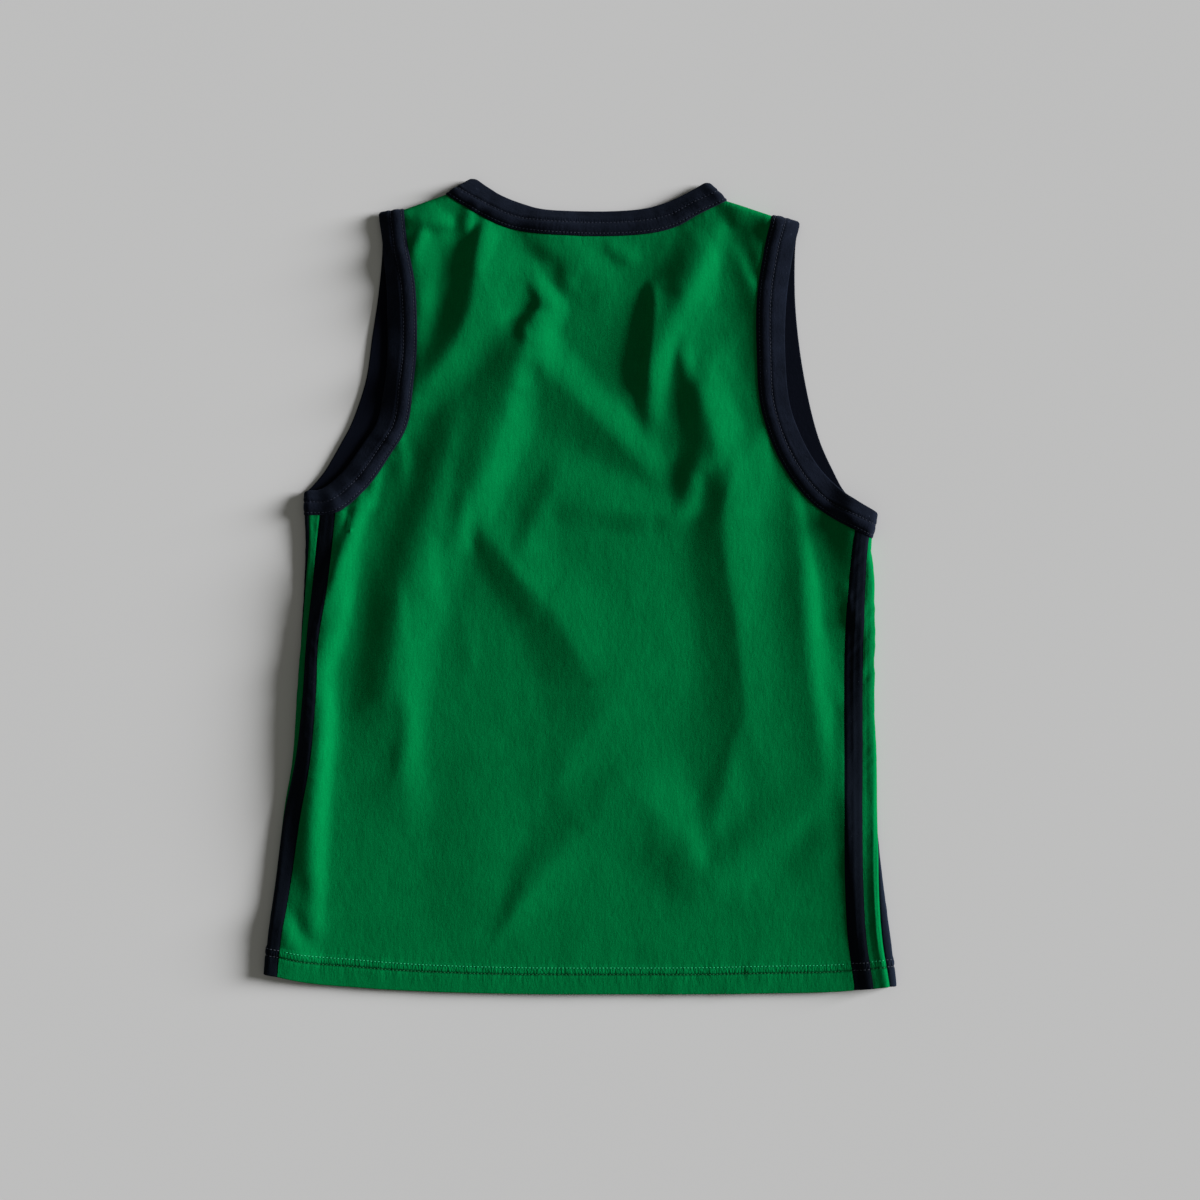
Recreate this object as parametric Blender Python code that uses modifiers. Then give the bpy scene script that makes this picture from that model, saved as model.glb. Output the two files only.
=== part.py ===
"""A ringer tank top that lies flat with its back up: two jersey panels with turned-up hems, a stripe, a strip
and a stripe down each side, and folded bindings round the neck and the armholes.

Sizes and tables are in millimetres, the meshes in metres. +X is to the right seen from above, +Y points to
the neck, +Z up, and the origin is under the middle of the garment on the surface it lies on. Each piece is an
open sheet through its inner face, thickened outwards. The inner face has two layers, the upper one with the
folds, and they join in a round along every folded edge: the shoulders, the sides and the ends of the bindings.
"""

import bpy
import numpy as np

MM = 0.001

CLOTH = 1.2  # wall of a panel, strip or stripe
BINDING = 2.0  # wall of a folded binding
HEM = 2.0  # wall of the turned-up hem
HEM_DEPTH = 24.0
SEAM_GAP = 0.45
FOLDED_SEAM_GAP = 0.8  # where the neck seam turns over the shoulder fold
LAYER_GAP = 0.4  # least air between the upper layer and what lies under it
FOLD_REACH = 4.0  # how far in from a folded edge its round goes
SIDE_PUFF = 2.6  # how much the layers stand apart at the side folds
SIDE_PUFF_REACH = 26.0
SHOULDER_PUFF = 2.2
SHOULDER_PUFF_REACH = 16.0
STRIPE_WIDTH = 14.5
NECK_BINDING_WIDTH = 20.0
FRONT_NECK_DROP = 95.0  # from the shoulder to the lowest point of the front neck seam

BODY_ROWS = 24  # rows of faces from hem to underarm
YOKE_ROWS = 14  # and from underarm to shoulder
BACK_NECK_COLUMNS = 24
FRONT_NECK_COLUMNS = 10
SHOULDER_COLUMNS = 3
STRIP_COLUMNS = 3
UNDERARM_STATIONS = 4  # of a binding, between the panel's corner and the side fold
UNDERARM_SCAN = np.linspace(0.6, 1.0, 400)  # shares of an armhole that the panel's corner is looked for in
BINDING_COLUMNS = 4
FOLDED_EDGE = 0.6  # share of its wall that a binding keeps at its outer edge, where it is folded over
NECK_TURN = 1.2  # rows of the neck's table over which the front binding turns to meet the shoulder fold
FOLD_ANGLES = np.radians([40.0, 90.0])  # stations round a folded edge, from its outermost line

GREEN = (0.004, 0.115, 0.031, 1.0)
NAVY = (0.008, 0.012, 0.022, 1.0)
ROUGHNESS = {"green jersey": 0.9, "navy jersey": 0.85}


def table(columns, rows):
    """Rows of measures as one array for each named column."""
    return dict(zip(columns.split(), np.array(rows, float).T))


# The side folds from the hem up: the outline's x, then how far round the garment from that edge the back
# panel's seam and the two seams of the side strip lie. Above the surface is +, underneath is -.
SIDES = table(
    "y  left  left_back  left_upper  left_lower  right  right_back  right_upper  right_lower",
    [
        (-335.0, -265.9, 12.4, -2.5, -16.5, 265.9, 36.3, 20.3, 7.0),
        (-297.0, -262.5, 13.2, -2.0, -16.0, 261.7, 37.1, 21.6, 8.8),
        (-246.0, -255.8, 14.9, -1.2, -15.0, 254.9, 32.9, 17.8, 5.2),
        (-196.0, -249.9, 16.6, 0.5, -13.0, 249.9, 28.7, 13.6, 0.5),
        (-145.0, -241.5, 17.4, 4.3, -8.0, 249.1, 27.9, 12.4, -1.5),
        (-95.0, -238.1, 18.3, 6.9, -4.0, 247.4, 26.2, 10.7, -3.0),
        (-45.0, -234.4, 17.0, 6.5, 0.5, 248.2, 26.2, 10.7, -3.0),
        (6.0, -231.4, 22.4, 8.6, 2.6, 247.4, 22.0, 8.2, -5.0),
        (41.0, -230.6, 25.0, 11.2, 4.5, 245.7, 17.0, 4.3, -7.0),
        (60.0, -231.2, 27.5, 14.0, 5.0, 248.8, 17.0, 3.5, -7.0),
    ],
)

# The armholes from the shoulder fold to the underarm fold: the binding's seam and outer edge on the back, and
# its outer edge on the front, which shows past the back one.
ARMHOLES = {
    "left": table(
        "seam_x  seam_y  edge_x  edge_y  front_x  front_y",
        [
            (-147.5, 316.5, -168.5, 313.5, -168.5, 313.5),
            (-145.0, 291.5, -165.0, 287.5, -166.0, 287.5),
            (-138.0, 253.5, -161.5, 249.5, -169.0, 249.5),
            (-136.5, 211.5, -161.0, 211.5, -174.5, 211.5),
            (-139.0, 174.0, -162.5, 175.5, -180.0, 174.0),
            (-145.0, 136.0, -169.5, 140.5, -191.0, 140.5),
            (-161.0, 108.5, -182.5, 119.5, -201.0, 121.0),
            (-179.5, 82.5, -198.0, 97.5, -214.0, 98.5),
            (-203.0, 63.0, -215.5, 82.5, -224.5, 85.5),
            (-230.0, 60.0, -229.0, 79.5, -229.0, 79.5),
        ],
    ),
    "right": table(
        "seam_x  seam_y  edge_x  edge_y  front_x  front_y",
        [
            (161.5, 311.0, 184.5, 305.5, 184.5, 305.5),
            (155.0, 283.0, 179.5, 283.0, 181.5, 283.0),
            (149.0, 241.0, 173.5, 241.0, 181.5, 241.0),
            (149.0, 199.0, 172.5, 199.0, 185.5, 199.0),
            (151.5, 157.0, 176.0, 157.0, 193.0, 157.0),
            (161.5, 122.0, 186.0, 127.0, 202.0, 123.5),
            (177.0, 92.5, 201.0, 101.0, 214.0, 96.5),
            (195.5, 70.5, 219.0, 82.5, 223.0, 80.5),
            (217.0, 55.5, 233.0, 72.0, 234.0, 71.5),
            (244.5, 41.0, 247.5, 61.0, 247.5, 61.0),
        ],
    ),
}

# The back neck from the left shoulder fold to the right one: the binding's seam and outer edge.
NECK = table(
    "seam_x  seam_y  edge_x  edge_y",
    [
        (-112.0, 329.5, -89.0, 340.0),
        (-82.0, 311.5, -67.0, 329.5),
        (-58.5, 301.5, -46.5, 321.5),
        (-29.0, 296.5, -25.0, 316.5),
        (17.0, 295.0, 17.0, 315.5),
        (55.0, 297.0, 51.0, 317.5),
        (80.0, 302.5, 71.0, 322.5),
        (101.0, 313.5, 88.5, 330.0),
        (123.0, 324.0, 108.0, 336.5),
    ],
)

HEM_EDGE = table(
    "x  y",
    [
        (-265.0, -325.0),
        (-235.0, -332.0),
        (-184.5, -337.0),
        (-67.0, -342.0),
        (34.0, -342.5),
        (143.0, -342.0),
        (227.0, -339.5),
        (266.0, -335.0),
    ],
)

# Main folds of the upper layer: four points along the crest, then at its first point and at its last how wide
# the slope is on either side, seen from the first point to the last, and how high it stands.
FOLDS = table(
    "x1  y1  x2  y2  x3  y3  x4  y4  left1  left2  right1  right2  height1  height2",
    [
        (-198, 103, -213, -38, -224, -87, -225, -323, 26, 18, 58, 16, 6.4, 5.1),
        (-65, 218, -127, 57, -156, -74, -141, -222, 57, 29, 35, 45, 7.5, 6.1),
        (-75, 318, -87, 276, -99, 211, -177, 154, 48, 25, 24, 34, 6.8, 7.5),
        (-23, 264, -44, 229, -46, 207, -108, 19, 34, 31, 57, 19, 6.9, 5.2),
        (-49, 240, -18, 176, 44, 114, 66, 85, 29, 26, 69, 14, 5.1, 3.2),
        (-42, 101, -9, 84, -30, 73, -38, 17, 62, 19, 26, 16, 2.1, 1.4),
        (-90, 61, -28, -13, -23, -18, 54, -123, 28, 75, 20, 73, 5.1, 3.3),
        (105, 324, 90, 248, 61, 197, 71, 116, 24, 22, 35, 14, 6.9, 1.3),
        (96, 220, 97, 187, 106, 141, 114, 81, 32, 32, 20, 45, 2.4, 7.5),
        (142, 160, 125, 26, 138, -58, 125, -237, 38, 53, 33, 52, 5.9, 4.3),
        (174, 96, 185, 16, 190, -48, 210, -199, 15, 39, 28, 72, 3.0, 7.5),
        (37, -124, 71, -205, 90, -223, 127, -285, 37, 62, 57, 44, 4.6, 3.6),
        (116, -251, 156, -211, 184, -197, 238, -186, 20, 66, 14, 75, 2.2, 4.1),
        (-40, -148, 14, -199, -6, -215, -72, -307, 75, 14, 68, 14, 4.1, 2.2),
        (-33, 287, -32, 241, -26, 232, -47, 225, 14, 21, 21, 17, -2.0, 5.1),
        (-12, 70, 81, 62, 94, 89, 126, 124, 27, 18, 28, 14, 2.6, 2.1),
        (-170, 113, -186, 65, -190, 48, -239, -56, 14, 22, 19, 14, 2.3, 2.6),
        (-166, -87, -160, -116, -163, -141, -149, -161, 15, 23, 46, 27, -1.7, -2.0),
        (228, 75, 172, 66, 219, -10, 213, -155, 46, 14, 61, 36, -1.3, -1.6),
        (-247, -276, -247, -278, -247, -291, -233, -334, 14, 42, 25, 39, 1.7, 3.4),
        (78, 264, 65, 249, 64, 232, 53, 166, 17, 40, 20, 14, 3.9, 5.3),
        (-220, -93, -212, -115, -216, -191, -207, -240, 17, 15, 14, 14, 3.6, -1.0),
        (62, 285, 87, 241, 85, 210, 83, 175, 57, 14, 17, 22, 2.9, 3.1),
        (230, 88, 232, 72, 233, 60, 232, 40, 14, 14, 24, 20, 3.0, 2.5),
    ],
)
CREST_POINTS = 13


def smooth(knots, values, at):
    """A smooth curve through a table's column, read between its rows."""
    slopes = np.gradient(values, knots)
    row = np.clip(np.searchsorted(knots, at) - 1, 0, len(knots) - 2)
    step = knots[row + 1] - knots[row]
    part = np.clip((at - knots[row]) / step, 0.0, 1.0)
    rest = 1.0 - part
    return (
        values[row] * (1.0 + 2.0 * part) * rest**2
        + values[row + 1] * (1.0 + 2.0 * rest) * part**2
        + step * part * rest * (slopes[row] * rest - slopes[row + 1] * part)
    )


def route(measures, x, y, at):
    """Points of a smooth line through two columns of a table; at counts its rows."""
    rows = np.arange(len(measures[x]), dtype=float)
    return np.stack([smooth(rows, measures[x], at), smooth(rows, measures[y], at)], axis=-1)


def hem_y(x):
    return smooth(HEM_EDGE["x"], HEM_EDGE["y"], x)


# --- folded edges -----------------------------------------------------------------------------------------

INWARD = {"left": 1.0, "right": -1.0}
LAST_ROW = {side: len(rows["seam_x"]) - 1.0 for side, rows in ARMHOLES.items()}
NECK_LAST = len(NECK["seam_x"]) - 1.0


def side_fold_x(side, y):
    """Inner face of the cloth at a side fold."""
    return smooth(SIDES["y"], SIDES[side], y) + INWARD[side] * CLOTH


def fold_lines():
    """The lines that the garment is folded along, each as points in plan."""
    lines = []
    for side, end in (("left", 0), ("right", -1)):
        armhole = ARMHOLES[side]
        shoulder = [(armhole[f"{part}_x"][0], armhole[f"{part}_y"][0]) for part in ("edge", "seam")]
        shoulder += [(NECK[f"{part}_x"][end], NECK[f"{part}_y"][end]) for part in ("seam", "edge")]
        underarm = [(armhole[f"{part}_x"][-1], armhole[f"{part}_y"][-1]) for part in ("edge", "seam")]
        heights = np.linspace(underarm[1][1], SIDES["y"][0] - HEM_DEPTH, 40)[1:]
        below = np.stack([side_fold_x(side, heights), heights], axis=-1)
        lines.append(("shoulder", np.array(shoulder)))
        lines.append(("side", np.concatenate([underarm, below])))
    return lines


def from_line(x, y, line):
    """Distance of each point from a line, whether it lies to its left, and how far along it, from 0 to 1."""
    lengths = np.hypot(*np.diff(line, axis=0).T)
    reached = np.concatenate([[0.0], np.cumsum(lengths)]) / lengths.sum()
    nearest = np.full(np.shape(x), np.inf)
    to_left = np.zeros(np.shape(x), bool)
    along = np.zeros(np.shape(x))
    for first, (start, end) in enumerate(zip(line[:-1], line[1:])):
        step_x, step_y = end - start
        part = ((x - start[0]) * step_x + (y - start[1]) * step_y) / lengths[first] ** 2
        part = np.clip(part, 0.0, 1.0)
        off_x = x - start[0] - part * step_x
        off_y = y - start[1] - part * step_y
        distance = np.hypot(off_x, off_y)
        nearer = distance < nearest
        nearest = np.where(nearer, distance, nearest)
        to_left = np.where(nearer, step_x * off_y - step_y * off_x > 0.0, to_left)
        along = np.where(nearer, reached[first] + part * (reached[first + 1] - reached[first]), along)
    return nearest, to_left, along


FOLD_LINES = fold_lines()


def fold_distance(x, y, kind):
    return np.min([from_line(x, y, line)[0] for of, line in FOLD_LINES if of == kind], axis=0)


# --- height of the cloth ----------------------------------------------------------------------------------


def crest(row):
    """A fold's crest, a cubic through its four points."""
    part = np.linspace(0.0, 3.0, CREST_POINTS)
    line = np.zeros((CREST_POINTS, 2))
    for point in range(4):
        weight = np.ones(CREST_POINTS)
        for other in range(4):
            if other != point:
                weight *= (part - other) / (point - other)
        line += weight[:, None] * (row[f"x{point + 1}"], row[f"y{point + 1}"])
    return line


def fold_height(x, y):
    """Soft ridges, and troughs where the height is below 0: each swells and is gone at its ends."""
    height = np.zeros(np.shape(x))
    for index in range(len(FOLDS["height1"])):
        row = {name: column[index] for name, column in FOLDS.items()}
        distance, to_left, along = from_line(x, y, crest(row))
        left = row["left1"] + (row["left2"] - row["left1"]) * along
        right = row["right1"] + (row["right2"] - row["right1"]) * along
        slope = 0.5 + 0.5 * np.cos(np.pi * np.minimum(distance / np.where(to_left, left, right), 1.0))
        swell = (1.0 - (2.0 * along - 1.0) ** 4) ** 2
        height += (row["height1"] + (row["height2"] - row["height1"]) * along) * slope * swell
    return height


def upper_height(x, y):
    """Inner face of the upper layer: clear of the lower one, puffed up at folded edges, with its folds."""
    side = fold_distance(x, y, "side")
    shoulder = fold_distance(x, y, "shoulder")
    puff = SIDE_PUFF * np.exp(-((side / SIDE_PUFF_REACH) ** 2))
    puff += SHOULDER_PUFF * np.exp(-((shoulder / SHOULDER_PUFF_REACH) ** 2))
    folds = fold_height(x, y)
    resting = (folds + np.sqrt(folds**2 + 0.2)) / 2.0  # a trough can't sink through the layer below
    return BINDING + LAYER_GAP + puff + resting


def inner_face(plan, layer, wall, edge=None, least=0.0):
    """Points of the inner face over a plan. layer is 1 above, -1 below, edge is how far in from the fold."""
    x, y = plan[..., 0], plan[..., 1]
    if edge is None:
        edge = np.minimum(fold_distance(x, y, "side"), fold_distance(x, y, "shoulder"))
    upper = upper_height(x, y)
    rounding = np.sqrt(1.0 - (1.0 - np.minimum(edge / FOLD_REACH, 1.0)) ** 2)
    half = np.maximum((upper - wall) / 2.0 * rounding, least)
    return np.stack([x, y, (upper + wall) / 2.0 + layer * half], axis=-1)


# --- meshes -----------------------------------------------------------------------------------------------


def collection(name):
    made = bpy.data.collections.new(name)
    bpy.context.scene.collection.children.link(made)
    return made


def material(name, colour):
    made = bpy.data.materials.new(name)
    made.use_nodes = True
    shader = made.node_tree.nodes["Principled BSDF"]
    shader.inputs["Base Color"].default_value = colour
    shader.inputs["Roughness"].default_value = ROUGHNESS[name]
    shader.inputs["Metallic"].default_value = 0.0
    made.diffuse_color = colour
    return made


def sheet(name, points, wall, finish, ring=False):
    """A piece of cloth: a grid of points on its inner face, thickened outwards by the wall at each point."""
    rows, columns = points.shape[:2]
    spans = rows if ring else rows - 1
    faces = []
    for row in range(spans):
        after = (row + 1) % rows
        for column in range(columns - 1):
            here, there = row * columns + column, after * columns + column
            faces.append((here, here + 1, there + 1, there))
    mesh = bpy.data.meshes.new(name)
    mesh.from_pydata((points.reshape(-1, 3) * MM).tolist(), [], faces)
    mesh.materials.append(finish)
    mesh.shade_smooth()
    piece = bpy.data.objects.new(name, mesh)
    parts.objects.link(piece)
    thick = piece.vertex_groups.new(name="wall")
    for vertex, share in enumerate((np.broadcast_to(wall, points.shape[:2]) / BINDING).ravel()):
        thick.add([vertex], float(share), "REPLACE")
    shell = piece.modifiers.new("Wall", "SOLIDIFY")
    shell.thickness = BINDING * MM
    shell.offset = 1.0
    shell.use_even_offset = True
    shell.vertex_group = thick.name
    shell.thickness_vertex_group = 0.0
    return piece


def walls(plan):
    """The wall of a panel or strip: its first two rows hold the turned-up hem."""
    wall = np.full(plan.shape[:2], CLOTH)
    wall[:2] = HEM
    return wall


# --- the seams of one side --------------------------------------------------------------------------------


def from_fold(girth):
    """How far in from a side fold a point lies that is this far round the garment from it."""
    turn = np.minimum(np.abs(girth) / FOLD_REACH, np.pi / 2.0)
    return FOLD_REACH * (1.0 - np.cos(turn)) + np.abs(girth) - FOLD_REACH * turn


def seam_girth(side, seam, y):
    """How far round from the fold a seam lies: back, upper or lower, or front at the front panel."""
    if seam == "front":
        return seam_girth(side, "lower", y) - STRIPE_WIDTH
    return smooth(SIDES["y"], SIDES[f"{side}_{seam}"], y)


def armhole_lines(side, layer, at):
    """The seam and the outer edge of an armhole binding on one layer."""
    rows = ARMHOLES[side]
    seam = route(rows, "seam_x", "seam_y", at)
    edge = route(rows, "edge_x", "edge_y", at)
    if layer > 0:
        return seam, edge
    front = route(rows, "front_x", "front_y", at)
    return front + seam - edge, front


def towards(start, end):
    step = end - start
    return step / np.linalg.norm(step, axis=-1, keepdims=True)


def underarm(side, layer):
    """Near the underarm, where the armhole seam is and how far in from the side fold it has come."""
    at = UNDERARM_SCAN * LAST_ROW[side]
    seam = armhole_lines(side, layer, at)[0]
    inset = np.abs(seam[:, 0] - side_fold_x(side, seam[:, 1]))
    return at, seam, inset


def top_y(side, girth):
    """Top end of a strip, just under the armhole binding."""
    found = np.zeros(np.shape(girth))
    for layer in (1, -1):
        seam = armhole_lines(side, layer, underarm_stations(side, layer))[0]
        inset = np.abs(seam[:, 0] - side_fold_x(side, seam[:, 1]))
        height = np.interp(from_fold(girth), inset[::-1], seam[::-1, 1])
        found = np.where(np.sign(girth + 1e-9) == layer, height, found)
    return found - SEAM_GAP


def corner_station(side, layer):
    """Where along the armhole the panel's seam with the stripe meets it."""
    at, seam, inset = underarm(side, layer)
    girth = seam_girth(side, "back" if layer > 0 else "front", seam[:, 1])
    return at[np.argmin(np.abs(inset - from_fold(girth)))]


def fold_stations(length):
    """Stations round a folded edge, in rows of a table whose first two rows are this far apart."""
    return FOLD_REACH * (1.0 - np.cos(FOLD_ANGLES)) / length


def underarm_stations(side, layer):
    """Stations along an armhole from the panel's corner to the side fold."""
    last = LAST_ROW[side]
    length = np.hypot(*np.diff(armhole_lines(side, layer, np.array([last - 1.0, last]))[0], axis=0)[0])
    near = last - fold_stations(length)[::-1]
    far = np.linspace(corner_station(side, layer), near[0], UNDERARM_STATIONS + 1)
    return np.concatenate([far, near[1:], [last]])


def body_rows():
    """Shares of the way from hem to underarm, with a close pair of rows at the top of the hem."""
    length = SIDES["y"][-1] - HEM_EDGE["y"].mean()
    hem = HEM_DEPTH / length
    return np.concatenate([[0.0, hem], np.linspace(hem + 2.0 / length, 1.0, BODY_ROWS - 1)])


def strip_plan(side, seam, shift=0.0):
    """A seam from the hem to the underarm: its points in plan, and how far round from the fold each lies."""
    y = np.full(BODY_ROWS + 1, SIDES["y"][0])
    share = body_rows()
    for _ in range(3):  # the seam's place and the height of its rows settle on each other
        girth = seam_girth(side, seam, y) + shift
        x = side_fold_x(side, y) + INWARD[side] * from_fold(girth)
        low = hem_y(x[0])
        y = low + (top_y(side, girth[-1:])[0] - low) * share
    girth = seam_girth(side, seam, y) + shift
    x = side_fold_x(side, y) + INWARD[side] * from_fold(girth)
    return np.stack([x, y], axis=-1), girth


def side_piece(name, side, seams, finish):
    """A strip or stripe between two seams, carried round the side fold."""
    half = SEAM_GAP / 2.0
    start_plan, start = strip_plan(side, seams[0], -half)
    end_plan, end = strip_plan(side, seams[1], half)
    share = np.linspace(0.0, 1.0, STRIP_COLUMNS + 1)
    girth = start[:, None] + (end - start)[:, None] * share
    y = start_plan[:, 1:] + (end_plan[:, 1] - start_plan[:, 1])[:, None] * share
    y[-1] = top_y(side, girth[-1])
    edge = from_fold(girth)
    plan = np.stack([side_fold_x(side, y) + INWARD[side] * edge, y], axis=-1)
    wall = walls(plan)
    points = inner_face(plan, np.where(girth > 0.0, 1.0, -1.0), wall, edge)
    if side == "left":
        points, wall = points[:, ::-1], wall[:, ::-1]
    sheet(name, points, wall, finish)


# --- panels -----------------------------------------------------------------------------------------------


def yoke_stations(side, layer):
    """Stations along an armhole from the shoulder fold to the panel's corner."""
    length = np.hypot(*np.diff(armhole_lines(side, layer, np.array([0.0, 1.0]))[0], axis=0)[0])
    near = fold_stations(length)
    far = np.linspace(near[-1], corner_station(side, layer), YOKE_ROWS + 1)[1:]
    return np.concatenate([[0.0], near, far])


def panel_side(side, layer):
    """A panel's side edge: up the seam with the stripe, then along the armhole to the shoulder."""
    seam, shift = ("back", SEAM_GAP / 2.0) if layer > 0 else ("front", -SEAM_GAP / 2.0)
    body = strip_plan(side, seam, shift)[0]
    stations = yoke_stations(side, layer)[::-1]
    line, edge = armhole_lines(side, layer, stations)
    armhole = line - towards(line, edge) * SEAM_GAP / 2.0
    return np.concatenate([body, armhole[1:]])


def front_neck(at):
    """The front neck's seam and the outer edge of its binding, a scoop; at counts as on the back neck."""
    turn = np.pi * at / NECK_LAST
    start = np.array([NECK["seam_x"][0], NECK["seam_y"][0]])
    end = np.array([NECK["seam_x"][-1], NECK["seam_y"][-1]])
    share = 0.5 * at / NECK_LAST + 0.5 * (0.5 - 0.5 * np.cos(turn))
    seam = start + (end - start) * share[:, None]
    seam[:, 1] -= FRONT_NECK_DROP * np.sin(turn)
    tangent = np.gradient(seam, axis=0)
    across = np.stack([-tangent[:, 1], tangent[:, 0]], axis=-1)
    across *= NECK_BINDING_WIDTH / np.linalg.norm(across, axis=-1, keepdims=True)
    for row, near in ((0, at), (-1, NECK_LAST - at)):
        folded = np.array([NECK[f"edge_{axis}"][row] - NECK[f"seam_{axis}"][row] for axis in "xy"])
        blend = np.clip(1.0 - near / NECK_TURN, 0.0, 1.0)[:, None] ** 2
        across = across * (1.0 - blend) + folded * blend
    return seam, seam + across


def neck_lines(layer, at):
    if layer > 0:
        return route(NECK, "seam_x", "seam_y", at), route(NECK, "edge_x", "edge_y", at)
    dense = np.linspace(0.0, NECK_LAST, 400)
    lines = front_neck(dense)
    return [np.stack([np.interp(at, dense, line[:, axis]) for axis in (0, 1)], axis=-1) for line in lines]


def neck_stations(layer):
    """Stations across the neck, close together near the two shoulder folds."""
    far = np.linspace(0.0, NECK_LAST, (BACK_NECK_COLUMNS if layer > 0 else FRONT_NECK_COLUMNS) + 1)
    first, second = neck_lines(layer, far[:2])[0]
    near = fold_stations(np.hypot(*(second - first)) / far[1])
    return np.unique(np.concatenate([far, near, NECK_LAST - near]))


def panel_top(left, right, layer):
    """A panel's top edge: the left shoulder, the neck, the right shoulder."""
    line, edge = neck_lines(layer, neck_stations(layer))
    gap = np.full((len(line), 1), SEAM_GAP)
    gap[[0, 1, -2, -1]] = FOLDED_SEAM_GAP
    neck = line - towards(line, edge) * (gap - SEAM_GAP / 2.0)
    share = np.linspace(0.0, 1.0, SHOULDER_COLUMNS + 1)[:, None]
    left_shoulder = left + (neck[0] - left) * share[:-1]
    right_shoulder = neck[-1] + (right - neck[-1]) * share[1:]
    return np.concatenate([left_shoulder, neck, right_shoulder])


def shares_along(line):
    reached = np.concatenate([[0.0], np.cumsum(np.abs(np.diff(line)))])
    return reached / reached[-1]


def panel(name, layer, finish):
    """A panel between its side edges, its top edge and its hem, evenly spread between all four."""
    left = panel_side("left", layer)
    right = panel_side("right", layer)
    top = panel_top(left[-1], right[-1], layer)
    across = shares_along(top[:, 0])
    up = shares_along(left[:, 1] + right[:, 1])
    hem_x = left[0, 0] + (right[0, 0] - left[0, 0]) * across
    hem = np.stack([hem_x, hem_y(hem_x)], axis=-1)
    hem[0], hem[-1] = left[0], right[0]
    c, v = across[None, :, None], up[:, None, None]
    plan = (1 - c) * left[:, None] + c * right[:, None] + (1 - v) * hem[None] + v * top[None]
    plan -= (1 - v) * ((1 - c) * hem[0] + c * hem[-1]) + v * ((1 - c) * top[0] + c * top[-1])
    wall = walls(plan)
    points = inner_face(plan, layer, wall, least=SEAM_GAP / 2.0)
    if layer < 0:
        points, wall = points[:, ::-1], wall[:, ::-1]
    sheet(name, points, wall, finish)


# --- bindings ---------------------------------------------------------------------------------------------


def binding(name, stations, finish, outer_first):
    """A binding ring: stations of (seam, outer edge, layer), folded where the layer changes."""
    seam, edge, layer = (np.concatenate(column) for column in zip(*stations))
    width = np.linalg.norm(edge - seam, axis=-1)[:, None]
    start = SEAM_GAP / 2.0 / width
    share = start + (1.0 - start) * np.linspace(0.0, 1.0, BINDING_COLUMNS + 1)
    plan = seam[:, None] + (edge - seam)[:, None] * share[..., None]
    points = inner_face(plan, layer[:, None], BINDING)
    wall = np.full(points.shape[:2], BINDING)
    wall[:, -1] = FOLDED_EDGE * BINDING
    if outer_first:
        points, wall = points[:, ::-1], wall[:, ::-1]
    sheet(name, points, wall, finish, ring=True)


def armhole_binding(side, finish):
    """From the shoulder fold down the back to the underarm fold, and up the front."""
    stations = []
    for layer in (1, -1):
        at = np.concatenate([yoke_stations(side, layer), underarm_stations(side, layer)[1:]])
        if layer < 0:
            at = at[::-1][1:-1]
        stations.append((*armhole_lines(side, layer, at), np.full(len(at), float(layer))))
    binding(f"armhole_binding_{side}", stations, finish, outer_first=side == "right")


def neck_binding(finish):
    """From the left shoulder fold across the back to the right one, and back round the front."""
    stations = []
    for layer in (1, -1):
        at = neck_stations(layer)
        if layer < 0:
            at = at[::-1][1:-1]
        stations.append((*neck_lines(layer, at), np.full(len(at), float(layer))))
    binding("neck_binding", stations, finish, outer_first=True)


# --- the garment ------------------------------------------------------------------------------------------

for old in list(bpy.data.objects):
    bpy.data.objects.remove(old, do_unlink=True)

parts = collection("ringer_tank_top")
green = material("green jersey", GREEN)
navy = material("navy jersey", NAVY)

panel("back_panel", 1, green)
panel("front_panel", -1, green)
for side in ("left", "right"):
    side_piece(f"back_stripe_{side}", side, ("back", "upper"), navy)
    side_piece(f"side_strip_{side}", side, ("upper", "lower"), green)
    side_piece(f"front_stripe_{side}", side, ("lower", "front"), navy)
    armhole_binding(side, navy)
neck_binding(navy)
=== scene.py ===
"""A ringer tank top that lies flat on its front: green jersey panels, striped sides, navy bindings.

Sizes and tables are in millimetres, the meshes in metres. +X is to the right seen from above, +Y points to
the neck, +Z up. Each piece of cloth is a thin shell over a plan, in two layers that join in a round along the
folded edges: the shoulders, the sides and the ends of the bindings.
"""

import math

import bpy
import numpy as np
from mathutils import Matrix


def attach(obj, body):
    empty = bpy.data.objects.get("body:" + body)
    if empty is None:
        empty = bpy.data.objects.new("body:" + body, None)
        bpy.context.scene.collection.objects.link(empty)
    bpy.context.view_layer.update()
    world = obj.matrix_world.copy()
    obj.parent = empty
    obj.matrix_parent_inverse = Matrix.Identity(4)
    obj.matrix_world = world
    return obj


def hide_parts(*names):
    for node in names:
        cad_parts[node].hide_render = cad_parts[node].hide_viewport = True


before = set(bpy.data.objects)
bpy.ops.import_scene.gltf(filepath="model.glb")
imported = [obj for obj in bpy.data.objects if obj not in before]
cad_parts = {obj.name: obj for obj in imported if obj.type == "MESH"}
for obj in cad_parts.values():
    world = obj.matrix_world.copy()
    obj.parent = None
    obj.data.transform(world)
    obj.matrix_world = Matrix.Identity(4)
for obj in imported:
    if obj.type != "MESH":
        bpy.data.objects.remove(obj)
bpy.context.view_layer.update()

MM = 0.001

# --- cloth and sewing ---

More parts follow.
